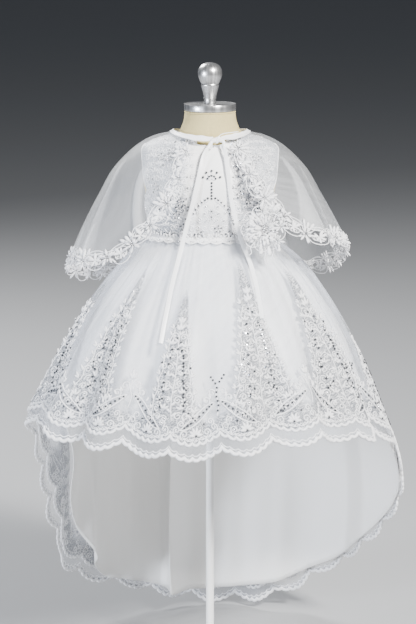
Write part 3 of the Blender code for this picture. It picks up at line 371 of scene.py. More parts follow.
@dataclass
class Seats:
    """Where small shapes stand: points, and the three directions that each shape is turned to."""

    at: Array
    east: Array
    north: Array
    up: Array

    def spun(self, turn: Array, tilt: float = 0.0, reach: float = 0.0) -> Seats:
        """The seats turned about their up direction, leaned up by a tilt and moved out along north.

        Args:
            turn: Degrees, one for each seat.
            tilt: Degrees by which north rises.
            reach: Metres moved along the new north.

        Returns:
            The new seats.
        """
        turn = np.radians(np.asarray(turn, float))[:, None]
        east = self.east * np.cos(turn) + self.north * np.sin(turn)
        flat = self.north * np.cos(turn) - self.east * np.sin(turn)
        lean = math.radians(tilt)
        north = flat * math.cos(lean) + self.up * math.sin(lean)
        up = self.up * math.cos(lean) - flat * math.sin(lean)
        return Seats(self.at + reach * north, east, north, up)

    def repeated(self, count: int) -> Seats:
        """Each seat a number of times in a row."""
        return Seats(*(np.repeat(part, count, axis=0)
            for part in (self.at, self.east, self.north, self.up)))


ORIGIN = Seats(*(np.array([v], float) for v in ((0, 0, 0), (1, 0, 0), (0, 1, 0), (0, 0, 1))))


class Surface:
    """A surface whose places are two coordinates, taken round the body and up it."""

    nudge: tuple[float, float] = (0.2, 0.0004)

    def point(self, place: Array) -> Array:
        """The point at each place."""
        raise NotImplementedError

    def leans(self, place: Array) -> tuple[Array, Array]:
        """How far and which way the point moves for one unit of each coordinate.

        Args:
            place: Places, of any shape x 2.

        Returns:
            The two leans.
        """
        along, up = np.array([self.nudge[0], 0.0]), np.array([0.0, self.nudge[1]])
        return ((self.point(place + along) - self.point(place - along)) / (2 * self.nudge[0]),
            (self.point(place + up) - self.point(place - up)) / (2 * self.nudge[1]))

    def normal(self, place: Array) -> Array:
        """The outward direction at each place: the cross product of the two leans."""
        return unit(np.cross(*self.leans(place)))

    def spread(self, centre: Array, offset: Array) -> Array:
        """Places a number of metres along and up from each centre.

        Args:
            centre: Places, n x 2.
            offset: Metres along and up, n x m x 2.

        Returns:
            The new places, n x m x 2.
        """
        along, up = self.leans(centre)
        scale = joined(np.linalg.norm(along, axis=-1), np.linalg.norm(up, axis=-1))
        return centre[:, None, :] + offset / scale[:, None, :]

    def seats(self, place: Array, turn: Array | float = 0.0, lift: float = 0.0) -> Seats:
        """Seats at places, turned by an angle from pointing up.

        Args:
            place: Places, n x 2.
            turn: Degrees anticlockwise from up, as seen from outside.
            lift: Metres above the surface.

        Returns:
            The seats.
        """
        normal = self.normal(place)
        east = unit(self.leans(place)[0])
        base = Seats(self.point(place) + lift * normal, east, np.cross(normal, east), normal)
        return base.spun(np.broadcast_to(turn, len(place)))


@dataclass
class BodySurface(Surface):
    """The dress form, or a surface at an even distance from it."""

    nudge = (0.5, 0.001)

    def point(self, place: Array) -> Array:
        """The form's own side."""
        return oval_point(FORM, place[..., 0], place[..., 1])


@dataclass
class BodiceSurface(Surface):
    """The inner side of the bodice: the form's side moved out by a skin's gap."""

    body: BodySurface = field(default_factory=BodySurface)
    nudge = (0.5, 0.001)

    def point(self, place: Array) -> Array:
        """The form's point and a gap along its normal."""
        return self.body.point(place) + SKIN * self.body.normal(place)


@dataclass
class SkirtSurface(Surface):
    """The inner side of a skirt: oval sections pushed out by folds, creases and gathers."""

    sections: Array
    folds: Array
    creases: Array
    gathered: bool = False
    gathers: float = 66.0
    gather_depth: float = 0.0012
    gather_drop: float = 0.016

    def point(self, place: Array) -> Array:
        """The section's point moved out by the sum of all folds, each a bell across that grows downwards.

        Args:
            place: Angles and heights.

        Returns:
            The points.
        """
        angle, height = place[..., 0], place[..., 1]
        total = np.zeros(np.shape(angle))
        for middle, width, depth, top, drop in self.folds:
            total = total + depth * bell(turned(angle - middle) / width) * step((top - height) / drop)
        below = np.clip(waist_height(angle) - height, 0.0, 1.0)
        for middle, width, depth, length in self.creases:
            near = bell(turned(angle - middle) / width)
            total = total + depth * near * step((below - 0.004) / 0.03) * bell(below / length)
        if self.gathered:
            wave = np.cos(np.radians((angle - SIDE_SEAM) * self.gathers))
            total = total + self.gather_depth * wave * np.exp(-below / self.gather_drop)
        else:
            crest, left, right, depth, top, drop, lean = TUBE_FOLD
            across = turned(angle - crest)
            width = np.where(across > 0, left, right)
            swell = bell(across / width) * step((top - height) / drop)
            total, angle = total + depth * swell, angle + lean * swell**2
        return oval_point(self.sections, angle, height, total)


@dataclass
class WaistSurface(Surface):
    """A band just outside the gathered top of the overskirt."""

    clear: float = 0.0036

    def point(self, place: Array) -> Array:
        """The overskirt's section at an even distance."""
        return oval_point(OVERSKIRT, place[..., 0], place[..., 1], self.clear)


@dataclass
class CapeSurface(Surface):
    """The inner side of the cape: oval rings over the shoulders, with folds that grow downwards."""

    folds: tuple[tuple[float, float, float, float, float], ...]
    pleat_height: float = 0.0022
    corner: float = 0.075
    corner_rise: float = 0.13
    nudge = (0.001, 0.002)

    def pleated(self, angle: Array, share: Array) -> Array:
        """How far each place is inside a flat pleat: a crisp step at one edge and a soft one at the other.

        Args:
            angle: Directions in degrees.
            share: Shares of the way down.

        Returns:
            0 outside the pleats to 1 inside one.
        """
        inside = np.zeros(np.shape(angle))
        for crisp, crisp_low, soft, soft_low, start in CAPE_PLEATS:
            run = np.clip((share - start) / (1.0 - start), 0.0, 1.2)
            edge, fade = crisp + (crisp_low - crisp) * run, soft + (soft_low - soft) * run
            sense = np.sign(fade - edge)
            width = np.maximum(np.abs(fade - edge), 0.1)
            across = turned(angle - edge) * sense
            here = step(across / 0.7) * step((width - across) / (0.12 * width + 0.5))
            inside = np.maximum(inside, here * step((share - start) / 0.08))
        return inside

    def at_angle(self, angle: Array, share: Array) -> Array:
        """The cape's point in a direction at a share of the way down.

        Args:
            angle: Directions in degrees.
            share: Shares of the way down.

        Returns:
            The points.
        """
        turn = np.radians(angle)
        levels = [smooth(share, CAPE[:, 0], CAPE[:, k]) for k in range(1, 7)]
        side_height, side, front_height, front, back_height, back = levels
        ahead = np.cos(turn) > 0
        depth = np.where(ahead, front, back)
        end_height = np.where(ahead, front_height, back_height)
        height = side_height + (end_height - side_height) * np.cos(turn) ** 2
        total = np.zeros(np.shape(angle))
        for upper, lower, width, reach, start in self.folds:
            across = turned(angle - upper - (lower - upper) * share) / width
            total = total + reach * bell(across) * step((share - start) / (1.0 - start))
        total = total + self.pleat_height * self.pleated(angle, share)
        return joined((side + total) * np.sin(turn), -(depth + total) * np.cos(turn), height)

    def direction(self, place: Array) -> Array:
        """The angle of each place, at a share of the way from the left front edge to the right one.

        Args:
            place: Shares of the way round and down.

        Returns:
            Directions in degrees.
        """
        left, right = (smooth(place[..., 1], CAPE_FRONTS[:, 0], CAPE_FRONTS[:, k]) for k in (1, 2))
        return -left - place[..., 0] * (360.0 - left - right)

    def point(self, place: Array) -> Array:
        """The point at a share of the way round and a share of the way down."""
        return self.at_angle(self.direction(place), place[..., 1])

    def rows(self, columns: int, shares: Array) -> Array:
        """Places of the whole cape, whose front corners are rounded as quarter circles.

        Args:
            columns: How many columns the cape has.
            shares: Shares of the way down, one for each row.

        Returns:
            Places, rows x columns + 1 x 2.
        """
        share = np.linspace(0.0, 1.0, columns + 1)
        from_edge = np.clip(np.minimum(share, 1.0 - share) / self.corner, 0.0, 1.0)
        length = smooth(share, CAPE_LENGTHS[:, 0], CAPE_LENGTHS[:, 1])
        length = length - self.corner_rise * (1.0 - np.sqrt(1.0 - (1.0 - from_edge) ** 2))
        return joined(np.broadcast_to(share, (len(shares), len(share))), shares[:, None] * length)


class EdgeSurface(Surface):
    """The band outwards from the cape's edge: down the left front, round the hem, up the right."""

    nudge = (0.002, 0.002)

    def __init__(self, cape: CapeSurface) -> None:
        """Follows the cape's edge once and keeps its points, normals and outward directions.

        Args:
            cape: The cape whose edge it is.
        """
        rows = cape.rows(176, np.linspace(0.0, 1.0, 49))
        places = np.concatenate([rows[4:, 0], rows[-1, 1:-1], rows[4:, -1][::-1]])
        edge, normal = cape.point(places), cape.normal(places)
        run = np.concatenate([[0.0], np.cumsum(np.linalg.norm(np.diff(edge, axis=0), axis=1))])
        even = np.linspace(0.0, run[-1], 240)
        edge, normal = (np.stack([np.interp(even, run, part[:, k]) for k in range(3)], -1)
            for part in (edge, normal))
        outward = unit(np.cross(np.gradient(edge, axis=0), normal))
        soft = np.ones(5) / 5
        padded = np.pad(outward, ((2, 2), (0, 0)), mode="edge")
        outward = unit(np.stack([np.convolve(padded[:, k], soft, "valid") for k in range(3)], -1))
        if outward[len(outward) // 2, 2] > 0:
            outward = -outward
        self.run = even
        self.table = np.concatenate([edge, unit(normal), outward], axis=1)

    def part(self, along: Array, first: int) -> Array:
        """Three columns of the table at a distance along the edge."""
        return np.stack([np.interp(along, self.run, self.table[:, first + k]) for k in range(3)], axis=-1)

    def point(self, place: Array) -> Array:
        """The edge's point moved outwards."""
        return self.part(place[..., 0], 0) + self.part(place[..., 0], 6) * place[..., 1:2]

    def normal(self, place: Array) -> Array:
        """The cape's own normal at the edge."""
        return unit(self.part(place[..., 0], 3))


@dataclass
class FlatSurface(Surface):
    """A flat place in space for a flower cluster: metres to its right and up."""

    origin: tuple[float, float, float]
    tilt: float
    turn: float
    nudge = (0.001, 0.001)

    def point(self, place: Array) -> Array:
        """The origin and the two directions of the tilted plane.

        Args:
            place: Metres to the right and up.

        Returns:
            The points.
        """
        tilt, turn = math.radians(self.tilt), math.radians(self.turn)
        east = np.array([math.cos(turn), math.sin(turn), 0.0])
        north = np.array([-math.cos(tilt) * math.sin(turn), math.cos(tilt) * math.cos(turn),
            math.sin(tilt)])
        return np.array(self.origin) + place[..., :1] * east + place[..., 1:] * north


# --------------------------------------------------------------------------------------------------
# Meshes


def grid_faces(rows: int, columns: int, wrap: bool = False) -> Array:
    """Quads between the points of a grid, taken row by row from the top, facing outwards.

    Args:
        rows: Rows of points.
        columns: Points in each row, in the order of rising angle.
        wrap: Whether the last column meets the first.

    Returns:
        The quads' corners, n x 4.
    """
    start = np.arange(rows - 1)[:, None] * columns
    left = np.arange(columns if wrap else columns - 1)[None, :]
    right = (left + 1) % columns
    return joined(start + left, start + columns + left, start + columns + right,
        start + right).reshape(-1, 4)


def run_along(points: Array) -> Array:
    """The distance from the first point of each row to the others."""
    gaps = np.linalg.norm(np.diff(points, axis=1), axis=2)
    return np.concatenate([np.zeros((len(points), 1)), np.cumsum(gaps, axis=1)], axis=1)


def laid_out(points: Array) -> Array:
    """The place in metres of each point of a grid of cloth: its run along its row, and down its column."""
    return joined(run_along(points), run_along(points.transpose(1, 0, 2)).T)


@dataclass(frozen=True)
class Stamp:
    """A small closed shape of triangles that is set many times."""

    points: Array
    faces: Array

    @staticmethod
    def of_rings(rings: Array, low: Sequence[float], high: Sequence[float]) -> Stamp:
        """A closed shape from rings of points and a pole at each end, its faces turned outwards.

        Args:
            rings: Points, rings x points in a ring x 3.
            low: The pole before the first ring.
            high: The pole after the last ring.

        Returns:
            The stamp.
        """
        count, around = rings.shape[:2]
        points = np.concatenate([[low], rings.reshape(-1, 3), [high]]).astype(float)
        quads = grid_faces(count, around, True) + 1
        i, j = np.arange(around), (np.arange(around) + 1) % around
        last = 1 + (count - 1) * around
        faces = np.concatenate([quads[:, [0, 1, 2]], quads[:, [0, 2, 3]], joined(0 * i, 1 + i, 1 + j),
            joined(0 * i + len(points) - 1, last + j, last + i)])
        a, b, c = (points[faces[:, k]] for k in range(3))
        if np.einsum("ij,ij->", a, np.cross(b, c)) < 0:
            faces = faces[:, ::-1]
        return Stamp(points, faces)

    @staticmethod
    def blade(stations: int, profile: Sequence[tuple[float, float]], belly: float, curl: float) -> Stamp:
        """A leaf or petal one unit long: its width is a sine of the way along, and it curls up as a square.

        Args:
            stations: Rings along the blade.
            profile: The ring's points as shares of half the width and of the height.
            belly: Power of the share along, under 1 for a blade that is widest near its foot.
            curl: Height of the tip.

        Returns:
            The stamp, with half a unit of width to each side and a unit of height.
        """
        y = np.linspace(0.0, 1.0, stations + 2)[1:-1]
        wide = np.sin(math.pi * y**belly) ** 0.8
        across = np.array([row[0] for row in profile])
        rise = np.array([row[1] for row in profile])
        rings = joined(0.5 * wide[:, None] * across, np.repeat(y[:, None], len(profile), 1),
            np.sqrt(wide)[:, None] * rise + curl * (y**2)[:, None])
        return Stamp.of_rings(rings, (0.0, 0.0, 0.0), (0.0, 1.0, curl))

    @staticmethod
    def turned(profile: Sequence[tuple[float, float]], sides: int) -> Stamp:
        """A turned shape from radii and heights that start and end on the axis.

        Args:
            profile: Radii and heights.
            sides: How many sides it is turned with.

        Returns:
            The stamp.
        """
        turns = np.arange(sides) * 2 * math.pi / sides
        rows = np.asarray(profile, float)
        rings = joined(rows[1:-1, :1] * np.cos(turns), rows[1:-1, :1] * np.sin(turns),
            np.repeat(rows[1:-1, 1:], sides, 1))
        return Stamp.of_rings(rings, (0.0, 0.0, rows[0, 1]), (0.0, 0.0, rows[-1, 1]))


LEAF = Stamp.blade(3, ((-1, 0), (-0.45, 0.9), (0.45, 0.9), (1, 0), (0, -0.2)), 0.85, 0.0)
PETAL = Stamp.blade(4, ((-1, 0.1), (-0.62, 0.9), (0, 0.45), (0.62, 0.9), (1, 0.1), (0, -0.3)), 1.25, 0.25)
PEARL = Stamp.turned(((0, -0.5), (0.43, -0.25), (0.5, 0.0), (0.43, 0.25), (0, 0.5)), 6)
CRYSTAL = Stamp.turned(((0, 0.0), (0.5, 0.0), (0.5, 0.12), (0.28, 0.38), (0, 0.38)), 7)
BUTTON = Stamp.turned(((0, 0), (0.8, 0), (0.97, 0.1), (1.0, 0.22), (0.93, 0.38), (0.78, 0.52), (0.5, 0.65),
    (0.2, 0.71), (0, 0.72)), 28)
THIN_CORD = np.array([(-0.5, 0.05), (0.0, 0.55), (0.5, 0.05), (0.0, -0.7)])
FLAT_BAND = np.array([(-0.5, 0.0), (-0.42, 0.12), (0.0, 0.17), (0.42, 0.12), (0.5, 0.0), (0.0, -0.05)])
ROUND_CORD = np.array([(-0.5, 0.0), (-0.36, 0.38), (0.0, 0.55), (0.36, 0.38), (0.5, 0.0), (0.0, -0.2)])


@dataclass
class Pile:
    """The points, faces and UV places of one piece while it is being made."""

    points: list[Array] = field(default_factory=list)
    quads: list[Array] = field(default_factory=list)
    triangles: list[Array] = field(default_factory=list)
    uvs: list[Array] = field(default_factory=list)
    marks: list[Array] = field(default_factory=list)

    def add(self, points: Array, faces: Array, uv: Array | None = None, mark: Array | None = None) -> None:
        """Adds a mesh.

        Args:
            points: Its points, n x 3.
            faces: Its quads or triangles.
            uv: Places in metres for its thread or weave; the points' own x and z where there is none.
            mark: Two numbers for each point that a finish reads.
        """
        start = sum(map(len, self.points))
        points = points.reshape(-1, 3)
        (self.quads if faces.shape[1] == 4 else self.triangles).append(faces + start)
        self.points.append(points)
        self.uvs.append(points[:, [0, 2]] if uv is None else uv.reshape(-1, 2))
        self.marks.append(np.zeros((len(points), 2)) if mark is None else mark.reshape(-1, 2))

    def wall(self, outer: Array, inner: Array, faces: Array, uv: Array, mark: Array | None = None) -> None:
        """Adds a closed wall between two skins, with the edges that only one face uses filled in.

        Args:
            outer: The outer skin's points, n x 3.
            inner: The inner skin's points.
            faces: The outer skin's quads.
            uv: The skins' places in metres.
            mark: Two numbers for each point that a finish reads.
        """
        count = len(outer)
        edges = joined(faces, np.roll(faces, -1, axis=1)).reshape(-1, 2)
        _, first, uses = np.unique(edges.min(1) * count + edges.max(1), return_index=True,
            return_counts=True)
        rim = edges[first[uses == 1]]
        sides = joined(rim[:, 1], rim[:, 0], rim[:, 0] + count, rim[:, 1] + count)
        both = None if mark is None else np.concatenate([mark, mark])
        self.add(np.concatenate([outer, inner]), np.concatenate([faces, faces[:, ::-1] + count, sides]),
            np.concatenate([uv, uv]), both)

    def skins(self, outer: Array, inner: Array, uv: Array, mark: Array | None = None,
            faces: Array | None = None) -> None:
        """Adds the wall between two grids of points.

        Args:
            outer: The outer skin's points, rows x columns x 3.
            inner: The inner skin's points.
            uv: The skins' places in metres.
            mark: Two numbers for each point that a finish reads.
            faces: The outer skin's quads, where they aren't those of a plain grid.
        """
        quads = grid_faces(*outer.shape[:2]) if faces is None else faces
        marks = None if mark is None else mark.reshape(-1, 2)
        self.wall(outer.reshape(-1, 3), inner.reshape(-1, 3), quads, uv.reshape(-1, 2), marks)

    def stamp(self, shape: Stamp, seats: Seats, size: Array | Sequence[float]) -> None:
        """Sets a small shape on every seat.

        Args:
            shape: The shape.
            seats: Where it stands.
            size: Its size along east, north and up, for all seats or for each.
        """
        count = len(seats.at)
        size = np.broadcast_to(np.asarray(size, float), (count, 3))
        local = shape.points[None] * size[:, None]
        points = (seats.at[:, None] + local[..., :1] * seats.east[:, None]
            + local[..., 1:2] * seats.north[:, None] + local[..., 2:] * seats.up[:, None])
        faces = shape.faces[None] + (np.arange(count) * len(shape.points))[:, None, None]
        self.add(points, faces.reshape(-1, 3), local[..., :2])

    def cord(self, at: Array, up: Array, width: float, profile: Array, closed: bool = False) -> None:
        """Carries a profile along lines: across is the line's direction crossed with up.

        Args:
            at: Points of the lines, n x m x 3.
            up: Directions away from the cloth, n x m x 3.
            width: The profile's width, and the unit of its height.
            profile: Points as shares of the width across and up.
            closed: Whether each line meets its own start.
        """
        lines, length = at.shape[:2]
        if closed:
            ahead = unit(np.roll(at, -1, axis=1) - np.roll(at, 1, axis=1))
        else:
            ahead = unit(np.gradient(at, axis=1))
        side = unit(np.cross(ahead, up))
        top = np.cross(side, ahead)
        around = len(profile)
        full = np.full(length, width)
        if not closed:
            full[[0, -1]] *= 0.35
        points = (at[:, :, None] + side[:, :, None] * (profile[:, 0] * full[:, None])[None, :, :, None]
            + top[:, :, None] * (profile[:, 1] * full[:, None])[None, :, :, None])
        rows = length + 1 if closed else length
        quads = grid_faces(rows, around, True)[:, ::-1] % (length * around)
        starts = (np.arange(lines) * length * around)[:, None, None]
        run = np.concatenate([np.zeros((lines, 1)),
            np.cumsum(np.linalg.norm(np.diff(at, axis=1), axis=2), 1)], 1)
        uv = joined(np.repeat(run[:, :, None], around, 2),
            np.broadcast_to(np.arange(around) * width / around, (lines, length, around)))
        self.add(points, (quads[None] + starts).reshape(-1, 4), uv)
        if not closed:
            fan = joined(np.zeros(around - 2, int), np.arange(1, around - 1), np.arange(2, around))
            ends = np.concatenate([fan[:, ::-1], fan + (length - 1) * around])
            offset = sum(map(len, self.points)) - lines * length * around
            self.triangles.append((ends[None] + starts + offset).reshape(-1, 3)[:, ::-1])

    def count(self) -> int:
        """How many triangles the piece has."""
        return 2 * sum(map(len, self.quads)) + sum(map(len, self.triangles))

    def piece(self, name: str, finish: Finish, slot: str, replaces: Sequence[str] = (),
            edge: float | None = None) -> Piece:
        """Makes the object, dresses it, and puts it on the frame.

        Args:
            name: The piece's name.
            finish: Its finish.
            slot: The record's material slot, which is not used.
            replaces: The solids that it stands for.
            edge: The angle in degrees past which an edge stays sharp.

        Returns:
            The object.
        """
        points, uvs, marks = (np.concatenate(part) for part in (self.points, self.uvs, self.marks))
        quads = np.concatenate(self.quads) if self.quads else np.zeros((0, 4), int)
        triangles = np.concatenate(self.triangles) if self.triangles else np.zeros((0, 3), int)
        corners = np.concatenate([quads.ravel(), triangles.ravel()])
        starts = np.concatenate([np.arange(len(quads)) * 4, 4 * len(quads) + 3 * np.arange(len(triangles))])
        mesh = bpy.data.meshes.new(name)
        mesh.vertices.add(len(points))
        mesh.vertices.foreach_set("co", points.astype(np.float32).ravel())
        mesh.loops.add(len(corners))
        mesh.loops.foreach_set("vertex_index", corners.astype(np.int32))
        mesh.polygons.add(len(starts))
        mesh.polygons.foreach_set("loop_start", starts.astype(np.int32))
        mesh.update(calc_edges=True)
        mesh.uv_layers.new(name="cloth").data.foreach_set("uv", uvs[corners].astype(np.float32).ravel())
        for k, label in enumerate(("worked", "open")):
            layer = mesh.attributes.new(label, "FLOAT", "POINT")
            layer.data.foreach_set("value", marks[:, k].astype(np.float32))
        mesh.shade_smooth()
        if edge is not None:
            mesh.set_sharp_from_angle(angle=math.radians(edge))
        mesh.materials.append(finish.material())
        made = bpy.data.objects.new(name, mesh)
        bpy.context.scene.collection.objects.link(made)
        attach(made, "root")
        if replaces:
            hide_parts(*replaces)
        log.info("%s: %d triangles", name, self.count())
        return made


# --------------------------------------------------------------------------------------------------
# Finishes


class Grain(Enum):
    """What roughens a finish."""

    SATIN = "long floats of a satin weave"
    WEAVE = "a plain open weave"
    TWIST = "the twist of a thread"
    JERSEY = "fine knitted stitches"
    # Fine polishing lines in the relief; the same grain draws the colour into streaks of painted reflection
    BRUSHED_WITH_REFLECTION_STREAKS = "fine lines of polishing"
    PAINT = "the slight ripple of sprayed paint"
    SMOOTH = "nothing"


class Board:
    """A short way to place and link a material's nodes."""

    def __init__(self, material: bpy.types.Material) -> None:
        """Takes the material and its shader."""
        self.tree = material.node_tree
        self.shader = self.tree.nodes["Principled BSDF"]

    def add(self, kind: str, inputs: dict[str | int, object], output: str | int = 0,
            **settings: object) -> Socket:
        """Adds a node.

        Args:
            kind: The node's type, without its first words.
            inputs: Values or sockets for its inputs.
            output: The output that is wanted.
            settings: Properties of the node.

        Returns:
            That output.
        """
        node = self.tree.nodes.new("ShaderNode" + kind)
        for key, value in settings.items():
            setattr(node, key, value)
        for key, value in inputs.items():
            self.give(node.inputs[key], value)
        return node.outputs[output]

    def give(self, socket: Socket, value: object) -> None:
        """Links a socket or sets its value.

        Args:
            socket: The input.
            value: An output to link, or the input's value.
        """
        if isinstance(value, Socket):
            self.tree.links.new(value, socket)
        else:
            socket.default_value = value

    def maths(self, operation: str, *values: object) -> Socket:
        """One sum of values or sockets."""
        return self.add("Math", dict(enumerate(values)), operation=operation)

    def mark(self, name: str) -> Socket:
        """One of the two numbers that each point carries."""
        return self.add("Attribute", {}, "Fac", attribute_name=name)

    def noise(self, place: Socket, scale: float, detail: float = 2.0) -> Socket:
        """A cloud of noise."""
        return self.add("TexNoise", {"Vector": place, "Scale": scale, "Detail": detail})

    def mixed(self, factor: object, first: Sequence[float] | object, second: object) -> Socket:
        """A colour between two."""
        colours = [(*c, 1.0) if isinstance(c, tuple) else c for c in (first, second)]
        return self.add("Mix", {0: factor, 6: colours[0], 7: colours[1]}, 2, data_type="RGBA")


@dataclass(frozen=True)
class Finish:
    """One finish: its colour, how it shines, how much shows through and what roughens it."""

    name: str
    colour: Colour
    roughness: float
    grain: Grain
    size: float = 0.0005
    depth: float = 0.0001
    metallic: float = 0.0
    sheen: float = 0.0
    specular: float = 0.5
    alpha: float = 1.0
    shade: float = 0.05
    patch: float = 0.02
    # The dark colour laid in where the cloth is worked: partly silver thread, partly painted shade
    worked: Colour | None = None
    # How strongly painted streaks of fold shade thicken and thin a sheer cloth
    shade_streaks: float = 0.0
    anisotropic: float = 0.0
    coat: float = 0.0

    def material(self) -> bpy.types.Material:
        """The finish's material, made on first use.

        Returns:
            The material.
        """
        found = bpy.data.materials.get(self.name)
        if found:
            return found
        made = bpy.data.materials.new(self.name)
        made.use_nodes = True
        board = Board(made)
        inputs = board.shader.inputs
        for key, value in (("Roughness", self.roughness), ("Metallic", self.metallic),
                ("Alpha", self.alpha), ("Sheen Weight", self.sheen), ("Sheen Roughness", 0.4),
                ("Specular IOR Level", self.specular), ("Anisotropic", self.anisotropic),
                ("Coat Weight", self.coat), ("Coat Roughness", 0.1)):
            inputs[key].default_value = value
        self.dress(board)
        return made

    def dress(self, board: Board) -> None:
        """Adds the colour's patches (drawn out into streaks of painted reflection on brushed metal), the
        painted shade streaks of sheer cloth, the grain's relief and the roughness that goes with them.

        Args:
            board: The material's nodes.
        """
        uv = board.add("TexCoord", {}, "UV")
        here = board.add("TexCoord", {}, "Object")
        place = here
        # On brushed metal the colour's patches are drawn out along the height into light and dark streaks:
        # painted reflections
        if self.grain is Grain.BRUSHED_WITH_REFLECTION_STREAKS:
            place = board.add("Mapping", {"Vector": uv, "Scale": (1.0, 0.03, 1.0)})
        cloud = board.noise(place, 1.0 / self.patch, 3.0)
        darker = tuple(c * (1.0 - self.shade) for c in self.colour)
        colour = board.mixed(cloud, darker, self.colour)
        # Painted shade: bands of noise along the cloth thicken and thin its cover, so that its tint draws
        # soft streaks of fold shade
        if self.shade_streaks:
            drawn = board.add("Mapping", {"Vector": uv, "Scale": (34.0, 1.6, 1.0)})
            shade_bands = board.noise(drawn, 1.0)
            cover = board.maths("MULTIPLY_ADD", board.maths("SUBTRACT", shade_bands, 0.5), self.shade_streaks,
                self.alpha)
            thick = board.mark("worked")
            cover = board.maths("MULTIPLY_ADD", thick, 0.0 if self.worked else 0.13, cover)
            board.give(board.shader.inputs["Alpha"], board.maths("MAXIMUM", cover, 0.05))
        if self.worked:
            colour = self.open_work(board, uv, colour)
        board.give(board.shader.inputs["Base Color"], colour)
        height = self.relief(board, uv, here)
        if height is None:
            return
        bump = board.add("Bump", {"Strength": 0.6, "Distance": self.depth, "Height": height})
        board.give(board.shader.inputs["Normal"], bump)
        rough = board.maths("MULTIPLY_ADD", cloud, 0.16, self.roughness - 0.08)
        board.give(board.shader.inputs["Roughness"], rough)

    def open_work(self, board: Board, uv: Socket, plain: Socket) -> Socket:
        """The embroidered border: a dark worked ground, partly silver thread and partly painted shade among
        the raised work, and open net between the two corded lines.

        Args:
            board: The material's nodes.
            uv: The cloth's places in metres.
            plain: The plain cloth's colour.

        Returns:
            The colour with the worked ground laid in.
        """
        worked = board.mark("worked")
        net = board.mark("open")
        cells = board.add("TexVoronoi", {"Vector": uv, "Scale": 560.0 if self.alpha == 1.0 else 280.0}, 0,
            feature="DISTANCE_TO_EDGE")
        thread = board.add("MapRange", {0: cells, 1: 0.02, 2: 0.1, 3: 1.0, 4: 0.0})
        # Painted shade in part: the dark worked colour fills the cells between light thread lines
        ground = board.mixed(thread, self.worked, (0.86, 0.87, 0.9))
        if self.alpha == 1.0:
            return board.mixed(worked, plain, ground)
        mesh = board.add("TexVoronoi", {"Vector": uv, "Scale": 620.0, "Randomness": 0.15}, 0,
            feature="DISTANCE_TO_EDGE")
        holes = board.add("MapRange", {0: mesh, 1: 0.03, 2: 0.12, 3: 0.42, 4: 0.0})
        solid = board.maths("MULTIPLY_ADD", worked, 0.44, board.shader.inputs["Alpha"].links[0].from_socket)
        netted = board.maths("MULTIPLY", net, board.maths("SUBTRACT", holes, solid))
        board.give(board.shader.inputs["Alpha"], board.maths("ADD", solid, netted))
        return board.mixed(worked, plain, ground)

    def relief(self, board: Board, uv: Socket, here: Socket) -> Socket | None:
        """The height of the grain.

        Args:
            board: The material's nodes.
            uv: The piece's places in metres.
            here: The point's own place.

        Returns:
            A socket that runs from about 0 to 1, or nothing for a smooth finish.
        """
        if self.grain is Grain.SMOOTH:
            return None
        if self.grain is Grain.PAINT:
            return board.noise(here, 1.0 / self.size)
        if self.grain in (Grain.SATIN, Grain.BRUSHED_WITH_REFLECTION_STREAKS):
            fine = board.add("Mapping", {"Vector": uv, "Scale": (1.0 / self.size, 0.08 / self.size, 1.0)})
            return board.noise(fine, 1.0)
        split = board.add("SeparateXYZ", {0: uv}, 0).node
        rate = 2 * math.pi / self.size
        across = board.maths("SINE", board.maths("MULTIPLY", split.outputs[0], rate))
        if self.grain is Grain.TWIST:
            lean = board.maths("MULTIPLY", split.outputs[1], 0.8 * rate)
            return board.maths("SINE", board.maths("MULTIPLY_ADD", split.outputs[0], rate, lean))
        along = board.maths("SINE", board.maths("MULTIPLY", split.outputs[1], rate))
        if self.grain is Grain.JERSEY:
            uneven = board.noise(here, 900.0)
            return board.maths("MULTIPLY_ADD", board.maths("MULTIPLY", across, along), 0.3, uneven)
        return board.maths("MULTIPLY", across, along)


SATIN_CLOTH = Finish("white satin", (0.9, 0.895, 0.885), 0.4, Grain.SATIN, 0.0004, 0.00005, sheen=0.25,
    specular=0.45, shade=0.03, patch=0.05, anisotropic=0.35)
RIBBON = Finish("satin ribbon", (0.91, 0.91, 0.92), 0.36, Grain.SATIN, 0.0003, 0.00005, sheen=0.2,
    shade=0.03)
# Lace on satin: its dark worked ground under the bodice lace is painted shade
LINING = Finish("lace on satin", (0.9, 0.895, 0.89), 0.5, Grain.SATIN, 0.0004, 0.00006, sheen=0.2,
    shade=0.04, worked=(0.24, 0.26, 0.3))
# Sheer organza for the cape: its streaks of thicker cover are painted fold shade
ORGANZA = Finish("sheer organza", (0.88, 0.9, 0.93), 0.34, Grain.WEAVE, 0.0006, 0.00005, sheen=0.6,
    alpha=0.11, shade=0.05, patch=0.06, shade_streaks=0.12)
# Embroidered organza: its blue-grey colour is painted shade of soft folds over the white satin; its dark
# worked ground is partly silver thread and partly painted shade among the raised work
OVERLAY = Finish("embroidered organza", (0.79, 0.83, 0.92), 0.45, Grain.WEAVE, 0.0006, 0.00005, sheen=0.35,
    alpha=0.22, shade=0.04, worked=(0.16, 0.175, 0.205), shade_streaks=0.2)
THREAD = Finish("white lace thread", (0.9, 0.9, 0.92), 0.62, Grain.TWIST, 0.0009, 0.00012, sheen=0.2,
    shade=0.08, patch=0.006)
PEARLS = Finish("silver beads", (0.8, 0.81, 0.84), 0.18, Grain.SMOOTH, metallic=0.85, shade=0.3,
    patch=0.003)
# Cut crystals: their near-black colour is a painted dark reflection on what are silver stones
CRYSTALS = Finish("cut crystals", (0.16, 0.17, 0.19), 0.12, Grain.SMOOTH, metallic=0.7, specular=0.9,
    shade=0.6, patch=0.004, coat=0.6)
FORM_CLOTH = Finish("form cloth", (0.58, 0.485, 0.235), 0.86, Grain.JERSEY, 0.0009, 0.0003, sheen=0.1,
    specular=0.25, shade=0.2, patch=0.0035)
